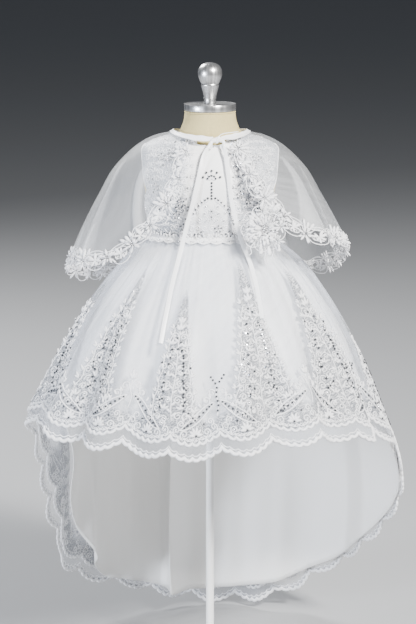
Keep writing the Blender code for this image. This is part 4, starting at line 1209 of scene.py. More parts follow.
# Polished metal: its strong light and dark colour streaks are painted reflections
METAL = Finish("polished metal", (0.9, 0.9, 0.9), 0.3, Grain.BRUSHED_WITH_REFLECTION_STREAKS, 0.0035, 0.0003, metallic=0.92,
    shade=0.75, patch=0.006)
PAINT = Finish("white paint", (0.82, 0.82, 0.82), 0.35, Grain.PAINT, 0.004, 0.00005, shade=0.03, coat=0.2)
FLOOR = Finish("pale floor", (0.34, 0.345, 0.355), 0.8, Grain.PAINT, 0.05, 0.0002, specular=0.15,
    shade=0.02, patch=1.0)


# --------------------------------------------------------------------------------------------------
# Needlework


@dataclass
class Needlework:
    """Cords, leaves, flowers, beads and crystals worked on one surface."""

    surface: Surface
    lift: float
    thread: Pile = field(default_factory=Pile)
    pearls: Pile = field(default_factory=Pile)
    crystals: Pile = field(default_factory=Pile)

    def cord(self, routes: Array, width: float, profile: Array = THIN_CORD, closed: bool = False,
            lift: float = 0.0) -> None:
        """Lays cords on the surface.

        Args:
            routes: Places, n x m x 2.
            width: The cords' width.
            profile: Their section.
            closed: Whether each is a ring.
            lift: How far they lie above the other work.
        """
        if len(routes) == 0:
            return
        up = self.surface.normal(routes)
        self.thread.cord(self.surface.point(routes) + (self.lift + lift) * up, up, width, profile, closed)

    def leaves(self, place: Array, turn: Array | float, length: Array | float, width: float,
            shape: Stamp = LEAF, tilt: float = 0.0, lift: float = 0.0) -> None:
        """Sets leaves that point the given degrees anticlockwise from up.

        Args:
            place: Their feet.
            turn: Degrees.
            length: Their lengths.
            width: Their mean width.
            shape: The leaf.
            tilt: Degrees by which they rise.
            lift: Metres above the other work.
        """
        seats = self.surface.seats(place, turn, self.lift + lift).spun(np.zeros(len(place)), tilt)
        length = np.broadcast_to(length, len(place))
        share = width / np.mean(length)
        self.thread.stamp(shape, seats, joined(length * share, length, 0.22 * length * share + 0.0004))

    def beads(self, place: Array, size: float, crystal: bool = False, lift: float = 0.0) -> None:
        """Sets round beads, or cut crystals.

        Args:
            place: Their places.
            size: Their width.
            crystal: Whether they are crystals.
            lift: Metres above the other work.
        """
        if len(place) == 0:
            return
        pile, shape = (self.crystals, CRYSTAL) if crystal else (self.pearls, PEARL)
        turn = 31.0 * np.arange(len(place))
        pile.stamp(shape, self.surface.seats(place, turn, self.lift + lift
            + (0 if crystal else 0.4 * size)), (size, size, size))

    def volutes(self, centre: Array, radius: Array | float, turn: Array | float, sense: Array | float,
            width: float = 0.0011) -> None:
        """Lays spirals whose radius falls evenly with the turn, each with a short tail.

        Args:
            centre: The spirals' middles.
            radius: Their outer radii.
            turn: Degrees to their start.
            sense: 1 for anticlockwise, -1 for clockwise.
            width: The cord's width.
        """
        count = len(centre)
        radius, turn, sense = (np.broadcast_to(v, count)[:, None] for v in (radius, turn, sense))
        swing = np.linspace(0.0, 2.45 * math.pi, 13)
        reach = radius * (1.0 - 0.8 * swing / swing[-1])
        phase = np.radians(turn) + sense * swing
        spiral = joined(reach * np.cos(phase), reach * np.sin(phase))
        back = np.array([1.0, 0.55])[None, :] * radius
        start = np.radians(turn)
        tail = joined(radius * np.cos(start) + sense * back * np.sin(start) - 0.12 * back * np.cos(start),
            radius * np.sin(start) - sense * back * np.cos(start) - 0.12 * back * np.sin(start))
        offset = np.concatenate([tail, spiral], axis=1)
        self.cord(self.surface.spread(centre, offset), width)

    def flowers(self, centre: Array, radius: float, petals: int, turn: Array, tilt: float = 8.0,
            width: float = 0.36, shape: Stamp = PETAL, lift: float = 0.0) -> None:
        """Sets a ring of petals round each centre.

        Args:
            centre: The flowers' middles.
            radius: The reach of the petals.
            petals: How many each flower has.
            turn: Degrees to each flower's first petal.
            tilt: Degrees by which the petals rise.
            width: A petal's width as a share of its length.
            shape: The petal.
            lift: Metres above the other work.
        """
        seats = self.surface.seats(centre, turn, self.lift + lift).repeated(petals)
        around = np.tile(np.arange(petals) * 360.0 / petals, len(centre))
        uneven = 1.0 + 0.09 * np.sin(2.4 * np.arange(len(around)))
        length = 0.88 * radius * uneven
        seats = seats.spun(around + 4.0 * np.sin(1.7 * np.arange(len(around))), tilt, 0.1 * radius)
        self.thread.stamp(shape, seats, joined(width * length, length, 0.16 * length))

    def finish(self, name: str, slot: str, replaces: Sequence[str] = ()) -> list[Piece]:
        """Makes the pieces: thread, beads and crystals.

        Args:
            name: The start of the pieces' names.
            slot: The record's material slot.
            replaces: The solids that the thread stands for.

        Returns:
            The objects.
        """
        made = [self.thread.piece(name + "_cordwork", THREAD, slot, replaces)]
        if self.pearls.points:
            made.append(self.pearls.piece(name + "_beads", PEARLS, slot))
        if self.crystals.points:
            made.append(self.crystals.piece(name + "_crystals", CRYSTALS, slot, edge=20.0))
        return made


# --------------------------------------------------------------------------------------------------
# The dress form


@dataclass
class DressForm:
    """A child's torso covered in cream jersey, with a metal neck cap, a finial, a pole and a round base."""

    neck_top: float = 0.85
    bottom: float = 0.545
    cap_radius: float = 0.0367
    cap_height: float = 0.01
    pole_radius: float = 0.006
    base_radius: float = 0.125
    base_height: float = 0.008
    seam_width: float = 1.3
    seam_depth: float = 0.0007

    def build(self) -> None:
        """Builds and dresses all of it."""
        self.body()
        low, rim = self.neck_top + SEAM, self.cap_radius + 0.0015
        top = low + self.cap_height
        self.lathe("form_neck_cap_metal", "form_neck_cap", METAL, "polished_metal",
            ((0, low), (self.cap_radius, low), (rim - 0.0002, low + 0.0004), (rim, low + 0.001),
            (rim, top - 0.0008), (rim - 0.0003, top - 0.0002), (rim - 0.001, top),
            (rim - 0.002, top - 0.0004), (self.cap_radius * 0.8, top - 0.0005), (0, top - 0.0003)))
        foot = top + SEAM
        curve = through(((0.0094, 0.0), (0.0086, 0.0055), (0.0093, 0.0105), (0.0104, 0.0155),
            (0.0131, 0.0258)), 14)
        bowl = through(((0.0127, 0.029), (0.0146, 0.0325), (0.017, 0.0385), (0.0178, 0.043),
            (0.0175, 0.0475), (0.0162, 0.0515), (0.0135, 0.0553), (0.009, 0.0582), (0.004, 0.0597)), 26)
        outline = [(0.0, 0.0), *map(tuple, curve), (0.0134, 0.0266), (0.0132, 0.028), *map(tuple, bowl),
            (0.0, 0.06)]
        self.lathe("form_finial_metal", "form_finial", METAL, "polished_metal",
            [(r, foot + h) for r, h in outline])
        top = self.base_height
        self.lathe("form_base_plate", "form_base", PAINT, "white_paint",
            ((0, 0), (self.base_radius - 0.0008, 0), (self.base_radius, 0.0008), (self.base_radius, 0.005),
            (self.base_radius - 0.0008, 0.007), (self.base_radius - 0.003, top), (0, top)))
        foot = top + SEAM
        self.lathe("form_pole_tube", "form_pole", PAINT, "white_paint",
            ((0, foot), (0.014, foot), (0.014, foot + 0.0265), (0.0135, foot + 0.0285),
            (0.011, foot + 0.03), (self.pole_radius, foot + 0.03), (self.pole_radius, self.bottom - SEAM),
            (0, self.bottom - SEAM)))

    def lathe(self, name: str, node: str, finish: Finish, slot: str,
            profile: Sequence[tuple[float, float]]) -> None:
        """Turns a profile of radii and heights and puts it in place of a solid.

        Args:
            name: The piece's name.
            node: The solid.
            finish: Its finish.
            slot: The record's material slot.
            profile: Radii and heights.
        """
        pile = Pile()
        shape = Stamp.turned(profile, 72)
        pile.stamp(shape, ORIGIN, (1, 1, 1))
        turn = np.arctan2(shape.points[:, 1], shape.points[:, 0])
        pile.uvs = [joined(turn * 0.04, shape.points[:, 2])]
        pile.piece(name, finish, slot, [node], 32.0)

    def body(self) -> None:
        """The torso: the oval sections with shallow panel seams down the front, back and sides."""
        heights = np.concatenate([np.linspace(self.neck_top, 0.79, 40),
            np.linspace(0.788, self.bottom + 0.008, 60), [self.bottom + 0.004, self.bottom + 0.0012,
            self.bottom]])
        angle, height = np.meshgrid(np.arange(144) * 2.5, heights)
        seam = sum(bell(turned(angle - at) / self.seam_width) for at in (0, 90, 180, -90))
        points = oval_point(FORM, angle, height, -self.seam_depth * seam)
        points[-1, :, :2] *= 0.985
        rings = points[::-1]
        stamp = Stamp.of_rings(rings, (0, 0, self.bottom), (0, 0, self.neck_top))
        pile = Pile()
        pile.stamp(stamp, ORIGIN, (1, 1, 1))
        turn = np.arctan2(stamp.points[:, 0], -stamp.points[:, 1])
        pile.uvs = [joined(turn * 0.09, stamp.points[:, 2])]
        pile.piece("form_jersey", FORM_CLOTH, "form_cloth", ["form_body"], 50.0)
        work = Needlework(BodySurface(), 0.0)
        ring = joined(np.linspace(-180, 180, 121), np.full(121, self.neck_top - 0.0016))
        work.cord(ring[None, :-1], 0.0016, ROUND_CORD, closed=True)
        work.thread.piece("form_neck_seam", FORM_CLOTH, "form_cloth")


# --------------------------------------------------------------------------------------------------
# Bodice


@dataclass
class Bodice:
    """The fitted satin bodice in three panels, with lace over its shoulders, sides and back."""

    middle: float = 1.2
    columns: int = 36
    strap_columns: int = 27
    neck_columns: int = 15
    body_rows: int = 16
    strap_rows: int = 22
    chest: float = 0.738
    underarm: float = 0.716
    armhole: tuple = ((67.5, 0.738), (72.5, 0.752), (75.0, 0.768), (79.0, 0.784), (90.0, 0.7985))
    shoulder: tuple = ((90.0, 0.815), (90.0, 0.7985))
    front_neck: tuple = ((0.0, 0.8024), (12.0, 0.8034), (20.0, 0.8086), (30.0, 0.812), (55.0, 0.8134),
        (90.0, 0.815))
    back_neck: tuple = ((0.0, 0.8045), (40.0, 0.8065), (70.0, 0.8118), (90.0, 0.815))
    surface: BodiceSurface = field(default_factory=BodiceSurface)

    def half(self, neckline: tuple) -> tuple[Array, Array]:
        """Half a panel: rows from the waist to the chest, then a patch blended between its four edges.

        Args:
            neckline: The neckline as (degrees from the panel's centre, height).

        Returns:
            Places as (degrees from the centre, height), and the faces between them.
        """
        share = np.linspace(0.0, 1.0, self.columns + 1)
        beyond = np.clip((1.0 - share) / (1.0 - self.strap_columns / self.columns), 0.0, 1.0)
        chest = self.underarm + (self.chest - self.underarm) * beyond**2
        lower = waist_height(90.0 * share) + SEAM / 2
        level = np.linspace(1.0, 0.0, self.body_rows + 1)[:, None]
        body = joined(np.broadcast_to(90.0 * share, (len(level), len(share))),
            lower + (chest - lower) * level)
        bottom = body[0, : self.strap_columns + 1]
        top = np.concatenate([through(neckline, self.neck_columns + 1), np.array(self.shoulder[0])
            + np.linspace(0, 1, self.strap_columns - self.neck_columns + 1)[1:, None]
            * np.subtract(*self.shoulder[::-1])])
        v = np.linspace(1.0, 0.0, self.strap_rows + 1)[:, None, None]
        u = np.linspace(0.0, 1.0, self.strap_columns + 1)[None, :, None]
        inner = bottom[0] + v[:, 0] * (top[0] - bottom[0])
        outer = through(self.armhole, self.strap_rows + 1)[::-1]
        blend = (1 - v) * bottom[None] + v * top[None] + (1 - u) * inner[:, None] + u * outer[:, None]
        strap = blend - ((1 - u) * ((1 - v) * bottom[0] + v * top[0])
            + u * ((1 - v) * bottom[-1] + v * top[-1]))
        faces = np.concatenate([grid_faces(*strap.shape[:2]), grid_faces(*body.shape[:2])
            + strap.shape[0] * strap.shape[1]])
        return np.concatenate([strap.reshape(-1, 2), body.reshape(-1, 2)]), faces

    def panel(self, name: str, neckline: tuple, halves: Sequence[tuple[float, float]]) -> Piece:
        """One panel as a closed wall of cloth.

        Args:
            name: The solid that it replaces.
            neckline: Its neckline.
            halves: For each half, the angle of the panel's centre and the way it runs from there.

        Returns:
            The object.
        """
        half, faces = self.half(neckline)
        places, quads = [], []
        for centre, sense in halves:
            angle = 0.12 + half[:, 0] * (89.76 / 90.0) if len(halves) == 1 else half[:, 0] * (89.88 / 90.0)
            quads.append((faces if sense > 0 else faces[:, ::-1]) + sum(map(len, places)))
            places.append(joined(centre + sense * angle, half[:, 1]))
        place = np.concatenate(places)
        _, first, index = np.unique(np.round(place, 6), axis=0, return_index=True, return_inverse=True)
        place, quads = place[first], index.reshape(-1)[np.concatenate(quads)]
        base, normal = self.surface.point(place), self.surface.normal(place)
        normal[np.abs(place[:, 1] - waist_height(place[:, 0])) < 0.001, 2] = 0.0
        # Where the lace lies, and at half strength in a band low at the front that fades towards the sides,
        # the lining takes the dark worked ground: painted shade under the lace
        laced = step((np.abs(turned(place[:, 0])) - self.lace_edge(place[:, 1])) / 5.0)
        low = 0.5 * step((0.722 - place[:, 1] - 0.0012 * np.abs(turned(place[:, 0]) - self.middle)) / 0.01)
        mark = joined(np.maximum(laced, low), 0.0 * laced)
        pile = Pile()
        pile.wall(base + BODICE_WALL * unit(normal), base, quads, place * (0.0015, 1.0), mark)
        return pile.piece(name + "_satin", LINING, "white_satin", [name])

    def lace_edge(self, height: Array) -> Array:
        """The angle of the lace's free edge: a line that leans out downwards, with a sine along it."""
        return 20.0 + 75.0 * np.clip(0.745 - height, 0, 1) + 3.0 * np.sin(height * 420.0)

    def inside(self, place: Array) -> Array:
        """Whether places, as angles from the front or the back, lie on the cloth a few millimetres in.

        Args:
            place: Angles and heights.

        Returns:
            A truth value for each place.
        """
        angle, height = np.abs(turned(place[:, 0])), place[:, 1]
        back = angle > 90.0
        angle = np.where(back, 180.0 - angle, angle)
        front, rear = (through(line, 40) for line in (self.front_neck, self.back_neck))
        levels = [np.interp(angle, line[:, 0], line[:, 1]) for line in (rear, front)]
        neck = np.where(back, *levels)
        hole = through(self.armhole, 40)
        limit = np.where(height > self.chest, np.interp(height, hole[:, 1], hole[:, 0]) - 2.5, 90.0)
        under = self.underarm + (self.chest - self.underarm) * np.clip((90.0 - angle) / 22.5, 0, 1) ** 2
        low = height < under - 0.003
        return (height < neck - 0.004) & (angle < limit) & (low | (angle < 67.0)) & (height > 0.672)

    def lace(self) -> list[Piece]:
        """The lace: florets, spirals and leaves on a staggered grid, and the centre motif.

        Returns:
            The pieces.
        """
        work = Needlework(self.surface, BODICE_WALL)
        rng = np.random.default_rng(11)
        rows = np.arange(0.676, 0.812, 0.0098)
        cells = []
        for k, height in enumerate(rows):
            angles = np.arange(-180.0, 180.0, 6.6) + (3.3 if k % 2 else 0.0)
            cells.append(joined(angles, np.full(len(angles), height)))
        cells = np.concatenate(cells)
        front = np.abs(cells[:, 0])
        edge = self.lace_edge(cells[:, 1])
        skirted = cells[:, 1] < 0.6895 - 0.00018 * front
        cells = cells[self.inside(cells) & ((front > edge) | skirted)]
        cells = cells + rng.normal(0.0, (0.5, 0.0008), cells.shape)
        kind = rng.integers(0, 5, len(cells))
        sign = np.where(cells[:, 0] > 0, 1.0, -1.0)
        some = kind < 3
        work.volutes(cells[some], 0.0046, rng.uniform(0, 360, some.sum()), sign[some], 0.0016)
        some = kind == 3
        work.flowers(cells[some], 0.0066, 6, rng.uniform(0, 60, some.sum()), 12.0, 0.44)
        work.beads(cells[some], 0.0022)
        work.beads(cells[(kind == 2) & (np.abs(cells[:, 0]) < 60)][::2], 0.0035, True, 0.0006)
        ring = np.radians(np.arange(0.0, 360.0, 72.0))
        ring = 0.0048 * joined(np.sin(ring), np.cos(ring))
        middles = cells[some & (np.abs(cells[:, 0]) < 52)]
        work.beads(self.surface.spread(middles, np.broadcast_to(ring, (len(middles), 5, 2))).reshape(-1, 2),
            0.0029, True, 0.0012)
        some = kind == 4
        for turn in (-42.0, 12.0, 66.0):
            work.leaves(cells[some], turn * sign[some] * -1.0, 0.0084, 0.0036)
        self.edges(work)
        self.centre(work)
        return work.finish("bodice", "white_lace")

    def edges(self, work: Needlework) -> None:
        """Fine piping along the neckline and the armholes, and leaves along the lace's free edge.

        Args:
            work: Where it is worked.
        """
        for sign in (-1.0, 1.0):
            for centre, line in ((0.0, self.front_neck), (180.0, self.back_neck)):
                route = through(line, 60) * (sign, 1.0) + (centre, -0.001)
                work.cord(route[None], 0.0022, ROUND_CORD)
                route = through(self.armhole, 60) * (sign, 1.0) + (centre - sign * 1.2, 0.0)
                work.cord(route[None], 0.002, ROUND_CORD)
            heights = np.arange(0.692, 0.795, 0.0075)
            place = joined(sign * self.lace_edge(heights), heights)
            work.leaves(place, sign * 62.0, 0.0085, 0.0036)
            work.leaves(place, sign * 108.0, 0.007, 0.003)
            work.beads(place[1::2] + (sign * 2.0, 0.0), 0.0024, True)

    def centre(self, work: Needlework) -> None:
        """A small spray at the centre front: a fan of leaves, a stem of crystals and two swags.

        Args:
            work: Where it is worked.
        """
        top = np.array([[self.middle, 0.756]])
        for turn, length in ((0, 0.0115), (36, 0.0105), (-36, 0.0105), (72, 0.009), (-72, 0.009)):
            work.leaves(top, turn, length, 0.0044)
        fan = np.radians([-72, -36, 0, 36, 72])
        for reach, size in ((0.0128, 0.0038), (0.006, 0.0034)):
            offset = reach * joined(np.sin(fan), np.cos(fan))
            work.beads(self.surface.spread(top, offset[None])[0], size, True, 0.001)
        spirals = ((0.7185, 5.0, 0.0042), (0.7085, 6.0, 0.0046), (0.71, 12.5, 0.0036),
            (0.6985, 4.6, 0.0044), (0.6975, 11.0, 0.0042))
        stem = joined(np.full(6, self.middle), 0.752 - 0.0044 * np.arange(6))
        work.beads(stem, 0.0038, True)
        for sign in (-1.0, 1.0):
            swag = through(((self.middle + sign * 2.0, 0.729), (self.middle + sign * 8.0, 0.7215),
                (self.middle + sign * 15.0, 0.708), (self.middle + sign * 19.0, 0.6925)), 16)
            work.cord(swag[None], 0.0018)
            work.beads(swag[1:-3:2] + (0.0, 0.0032), 0.0037, True)
            work.leaves(swag[1:-1:2], sign * -125.0, 0.008, 0.0034)
            work.leaves(swag[2:-1:2], sign * -40.0, 0.0068, 0.003)
            for height, across, radius in spirals:
                spot = np.array([[self.middle + sign * across, height]])
                work.volutes(spot, radius, 90.0 + sign * 40.0, sign, 0.0015)
                work.beads(spot, 0.0022)
        heart = np.array([[self.middle, 0.712], [self.middle, 0.703]])
        work.flowers(heart, 0.0048, 6, np.array([0.0, 30.0]), 10.0, 0.42)
        work.beads(heart, 0.0022, True, 0.0008)

    def build(self) -> None:
        """Builds the panels, their lace and the buttons down the back."""
        front = self.panel("bodice_front", self.front_neck, ((0.0, -1.0), (0.0, 1.0)))
        left = self.panel("bodice_back_left", self.back_neck, ((-180.0, 1.0),))
        right = self.panel("bodice_back_right", self.back_neck, ((180.0, -1.0),))
        lace = self.lace()
        for number, height in enumerate((0.682, 0.714, 0.746, 0.778), 1):
            pile = Pile()
            seats = self.surface.seats(np.array([[176.0, height]]), 0.0, BODICE_WALL + 0.0011)
            pile.stamp(BUTTON, seats, (0.0048, 0.0048, 0.0048))
            pile.piece(f"back_button_{number}_covered", SATIN_CLOTH, "white_satin",
                [f"back_button_{number}"])
        route = joined(np.full(50, 179.9), np.linspace(0.667, 0.806, 50))
        seam = Needlework(self.surface, BODICE_WALL)
        seam.cord((route - (0.9, 0.0))[None], 0.0009)
        seam.thread.piece("back_closing_stitches", THREAD, "white_satin")


@dataclass
class WaistLace:
    """The scalloped edging over the waist seam."""

    above: float = 0.005
    height: float = 0.0098
    notch: float = 0.0026
    ground: float = 0.0004
    rows: int = 6
    surface: WaistSurface = field(default_factory=WaistSurface)

    def build(self) -> None:
        """Builds the backing and the work on it."""
        angle = np.linspace(-180.0, 180.0, 16 * WAIST_SCALLOPS + 1)[:-1]
        share = ((angle + 180.0) * WAIST_SCALLOPS / 360.0) % 1.0
        top = waist_height(angle) + self.above
        low = top - self.height + self.notch * np.abs(2.0 * share - 1.0) ** 1.6
        level = np.linspace(0.0, 1.0, self.rows)[:, None]
        place = joined(np.broadcast_to(angle, (self.rows, len(angle))), top + level * (low - top))
        base, normal = self.surface.point(place), self.surface.normal(place)
        pile = Pile()
        pile.skins(base + self.ground * normal, base, place * (0.0017, 1.0),
            faces=grid_faces(self.rows, len(angle), True))
        backing = pile.piece("waist_lace_ground", LINING, "white_lace", ["waist_lace"])
        work = Needlework(self.surface, self.ground)
        work.cord(joined(angle, low + 0.0007)[None], 0.0013, ROUND_CORD, closed=True)
        middle = -180.0 + (np.arange(WAIST_SCALLOPS) + 0.5) * 360.0 / WAIST_SCALLOPS
        foot = joined(middle, waist_height(middle) + self.above - 0.007)
        for turn in (-70.0, -36.0, 0.0, 36.0, 70.0):
            work.leaves(foot, turn, 0.0078, 0.003)
        work.beads(foot, 0.0022)
        rim = joined(middle, waist_height(middle) + self.above - 0.0015)
        leaves = ((0.0, 0.0, 0.0085), (2.6, -34.0, 0.0072), (-2.4, 38.0, 0.0072), (4.6, 12.0, 0.006))
        for shift, turn, length in leaves:
            work.leaves(rim + (shift, 0.0), turn, length, 0.0032)
        between = joined(middle + 180.0 / WAIST_SCALLOPS, foot[:, 1] + 0.0026)
        work.volutes(between, 0.0024, 90.0, 1.0, 0.001)
        pieces = work.finish("waist_lace", "white_lace")


# --------------------------------------------------------------------------------------------------
# Skirts


def gather_creases(start: float, seed: int) -> Array:
    """Creases that run down from the waist seam of one half, uneven in place, depth and length.

    Args:
        start: The angle at which the half starts.
        seed: The seed of their unevenness.

    Returns:
        Rows of angle, width of half the crease, how far it stands out and the drop over which it fades.
    """
    rng = np.random.default_rng(seed)
    count = 42
    angle = start + 2.0 + (np.arange(count) + rng.uniform(-0.35, 0.35, count)) * 176.0 / (count - 1)
    long = rng.uniform(0.0, 1.0, count) ** 2
    return joined(angle, 1.0 + 1.6 * long, 0.0018 + 0.005 * rng.uniform(0.2, 1.0, count) * (0.4 + long),
        0.04 + 0.27 * long)


@dataclass
class SatinSkirt:
    """The satin underskirt: a short front and a long train."""

    surface: SkirtSurface
    columns: int = 220
    rows: int = 66
    stitch_height: float = 0.006
    stitch_width: float = 0.0006

    def panel(self, name: str, start: float) -> Piece:
        """One panel from side seam to side seam, with a turned hem and its line of stitches.

        Args:
            name: The solid that it replaces.
            start: The angle of its first side seam.

        Returns:
            The object.
        """
        angle = np.linspace(start + PANEL_GAP, start + 180.0 - PANEL_GAP, self.columns)
        if start == SIDE_SEAM:
            close = TUBE_FOLD[0] + 360.0 + np.linspace(-7.0, 5.0, 60)
            angle = np.sort(np.concatenate([angle, close]))
        share = np.linspace(0.0, 1.0, self.rows)[:, None]
        top = waist_height(angle) - SEAM / 2
        height = top + share * (hem_height(1, angle) - top)
        place = joined(np.broadcast_to(angle, height.shape), height)
        base, normal = self.surface.point(place), self.surface.normal(place)
        normal[0, :, 2] = 0.0
        pile = Pile()
        pile.skins(base + SATIN_WALL * unit(normal), base, laid_out(base))
        piece = pile.piece(name + "_cloth", SATIN_CLOTH, "white_satin", [name])
        route = joined(angle[2:-2], hem_height(1, angle[2:-2]) + self.stitch_height)
        for side, lift in (("out", SATIN_WALL), ("in", -0.0003)):
            stitches = Needlework(self.surface, lift)
            ends = route[: len(route) // 3 * 3].reshape(-1, 3, 2)
            stitches.cord(ends, self.stitch_width)
            stitches.thread.piece(f"{name}_hem_stitches_{side}", THREAD, "white_satin")
        return piece

    def build(self) -> None:
        """Builds both panels."""
        front = self.panel("satin_front", SIDE_SEAM - 180.0)
        train = self.panel("satin_train", SIDE_SEAM)


@dataclass
class Overskirt:
    """The organza overskirt with its scalloped, embroidered border, in a front and a train."""

    surface: SkirtSurface
    border: tuple = (0.03, 0.026, 0.022, 0.018, 0.014, 0.0105, 0.007, 0.0035, 0.0005)
    metres_a_degree: float = 0.0043

    def panel(self, name: str, start: float) -> Piece:
        """One panel of sheer cloth, marked where it is worked and where it is open net.

        Args:
            name: The solid that it replaces.
            start: The angle of its first side seam.

        Returns:
            The object.
        """
        train = start == SIDE_SEAM
        passed = np.linspace(0.0, 1.0, (TRAIN_SCALLOPS * 5 if train else SCALLOPS * 6) * LOBES + 1)
        angle = scallop_angle(passed * (TRAIN_SCALLOPS if train else SCALLOPS), train)
        angle = np.clip(angle, start + PANEL_GAP, start + 180.0 - PANEL_GAP)
        border = np.array(self.border)[:, None] + 0.0 * angle
        waist = waist_height(angle) - SEAM / 2
        reach = waist - hem_height(2, angle)
        for _ in range(4):
            reach = reach + waist - on_hem(angle, reach)[:, 1]
        share = np.linspace(1.0, 0.0, 32)[:-1, None] ** 1.1
        above = np.concatenate([border[0] + share * (reach - border[0]), border])
        place = np.concatenate([on_hem(angle, above), on_hem(angle, 0.0 * angle, 1.0)[None]])
        above = np.concatenate([above, 0.0 * border[:1]])
        base, normal = self.surface.point(place), self.surface.normal(place)
        normal[0, :, 2] = 0.0
        base = base + SHEER_BASE * unit(normal)
        # Where the flames are worked the finish lays in its dark ground, partly silver thread and partly
        # painted shade, and thickens the cloth
        worked = step((flame_top(place[..., 0], 0.55) - above) / 0.009)
        net = step((above - 0.002) / 0.002) * step((CORD_LINE - 0.001 - above) / 0.002)
        mark = joined(worked * (1.0 - net), net)
        pile = Pile()
        pile.skins(base + SHEER_WALL * unit(normal), base, laid_out(base), mark)
        return pile.piece(name + "_organza", OVERLAY, "embroidered_organza", [name])

    def edging(self, work: Needlework, start: float) -> None:
        """The corded lines along the scallops, with small loops over the inner one.

        Args:
            work: Where they are worked.
            start: The angle of the panel's first side seam.
        """
        train = start == SIDE_SEAM
        count = TRAIN_SCALLOPS if train else SCALLOPS
        angle = scallop_angle(np.linspace(0.01, count - 0.01, count * LOBES * 8 + 1), train)
        lines = ((0.0016, 1.05, 0.0054), (0.0068, 0.8, 0.0015), (CORD_LINE, 1.2, 0.0042),
            (CORD_LINE + 0.0046, 0.9, 0.0014))
        for above, lobes, width in lines:
            work.cord(on_hem(angle, above, lobes)[None], width, ROUND_CORD)
        middle = (np.arange(count * 14)[:, None] + 0.5) / 14
        swing = np.linspace(0.0, math.pi, 6)
        arches = scallop_angle(middle + 0.0026 / SCALLOP_LENGTH * np.cos(swing), train)
        work.cord(on_hem(arches, CORD_LINE + 0.001 + 0.0038 * np.sin(swing)), 0.0012)

    def scallop_fans(self, work: Needlework, start: float) -> None:
        """A fan of leaves in each scallop, spirals beside it and a crystal at its foot.

        Args:
            work: Where they are worked.
            start: The angle of the panel's first side seam.
        """
        train = start == SIDE_SEAM
        middle = np.arange(TRAIN_SCALLOPS if train else SCALLOPS) + 0.5
        foot = scallop_angle(middle, train)
        lean = np.degrees(np.arctan(hem_slope(foot)))
        foot = on_hem(foot, 0.03)
        fan = ((-80, 0.0115), (-46, 0.0125), (-15, 0.014), (15, 0.014), (46, 0.0125), (80, 0.0115))
        spirals = ((0.017, 0.031, 0.0054), (0.028, 0.033, 0.005), (0.0225, 0.0425, 0.0048))
        for turn, length in fan:
            work.leaves(foot, turn + lean, length, 0.0048)
        work.beads(foot, 0.0034, True, 0.0008)
        for side in (-1.0, 1.0):
            for out, above, radius in spirals:
                place = on_hem(scallop_angle(middle + side * out / SCALLOP_LENGTH, train), above)
                work.volutes(place, radius, 90.0 - side * 90.0 + lean, side, 0.0017)
                work.beads(place[::2], 0.0022)
            spot = on_hem(scallop_angle(middle + side * 0.012 / SCALLOP_LENGTH, train), 0.0425)
            work.beads(spot, 0.0032, True)

    def flame(self, work: Needlework, middle: float, width: float, high: float,
            rng: np.random.Generator) -> None:
        """One flame: rows of cells that mirror each other about a stem of crystals, inside leafy edges.

        Args:
            work: Where it is worked.
            middle: Its angle.
            width: Half its width in degrees.
            high: Its height above the hem.
            rng: Unevenness.
        """
        pitch = 0.011 / self.metres_a_degree
        cells, leafy = [], []
        for k, above in enumerate(np.arange(0.05, 0.97 * high, 0.01)):
            half = 0.93 * FLAME_WAIST * width * math.sqrt(math.log(max(high / above, 1.0001))) + 0.6
            half = min(half, 0.92 * width)
            columns = np.arange(0.75 + 0.5 * (k % 2), half / pitch, 1.0) * pitch
            cells += [(x, above, (3 * k + 2 * i + i * k) % 6) for i, x in enumerate(columns)]
            leafy.append((half + 0.6, above))
        cells, leafy = np.array(cells), np.array(leafy)
        for side in (-1.0, 1.0):
            angle = middle + side * cells[:, 0]
            place = on_hem(angle, cells[:, 1]) + rng.normal(0.0, (0.25, 0.0011), (len(cells), 2))
            kind = cells[:, 2]
            some = (kind < 3) | (kind == 5)
            work.volutes(place[some], rng.uniform(0.0042, 0.0062, some.sum()),
                90.0 - side * (20.0 + 25.0 * kind[some]) + rng.uniform(-25, 25, some.sum()), side, 0.0017)
            work.beads(place[some][::3], 0.0022)
            work.beads(place[1::6] + (0.9 * side, 0.0045), 0.0038, True, 0.0008)
            some = kind == 3
            for turn in (-56.0, -10.0, 36.0):
                work.leaves(place[some], -side * turn, 0.0098, 0.004)
            some = kind == 4
            work.flowers(place[some], 0.0068, 6, rng.uniform(0, 72, some.sum()), 8.0, 0.48)
            work.beads(place[some], 0.0033, True, 0.0008)
            edge = on_hem(middle + side * leafy[:, 0], leafy[:, 1]) + rng.normal(0, (0.15, 0.0008),
                leafy.shape)
            work.leaves(edge, -side * 28.0, rng.uniform(0.008, 0.0115, len(edge)), 0.0036)
            work.leaves(edge[1::2], -side * 64.0, 0.0085, 0.0032)
            outline = through(np.column_stack([middle + side * leafy[:, 0] * 0.95, leafy[:, 1]]), 44)
            sway = 0.35 * np.sin(outline[:, 1] * 260.0 + side)
            work.cord(on_hem(outline[:, 0] + sway, outline[:, 1])[None], 0.0014)
            arc = through(np.column_stack([middle + side * leafy[:, 0] * 0.55, leafy[:, 1]]), 22)
            arc = arc[(arc[:, 1] < 0.8 * high) & (arc[:, 1] > 0.34 * high)][:: (1 if side > 0 else 2)]
            arc = arc + rng.normal(0, (0.2, 0.001), arc.shape)
            work.beads(on_hem(arc[:, 0], arc[:, 1]), 0.004, True, 0.001)
        above = np.linspace(0.04, 0.93 * high, 40)
        vine = on_hem(middle + 0.8 * np.sin(above * 70.0) * (1.0 - above / high), above)
        work.cord(vine[None], 0.0015, ROUND_CORD)
        for side in (-1.0, 1.0):
            work.leaves(vine[(2 if side > 0 else 4)::5], -side * 46.0, 0.0096, 0.0038)
        tip = on_hem(np.full(3, middle), high + np.array([-0.012, -0.003, 0.006]))
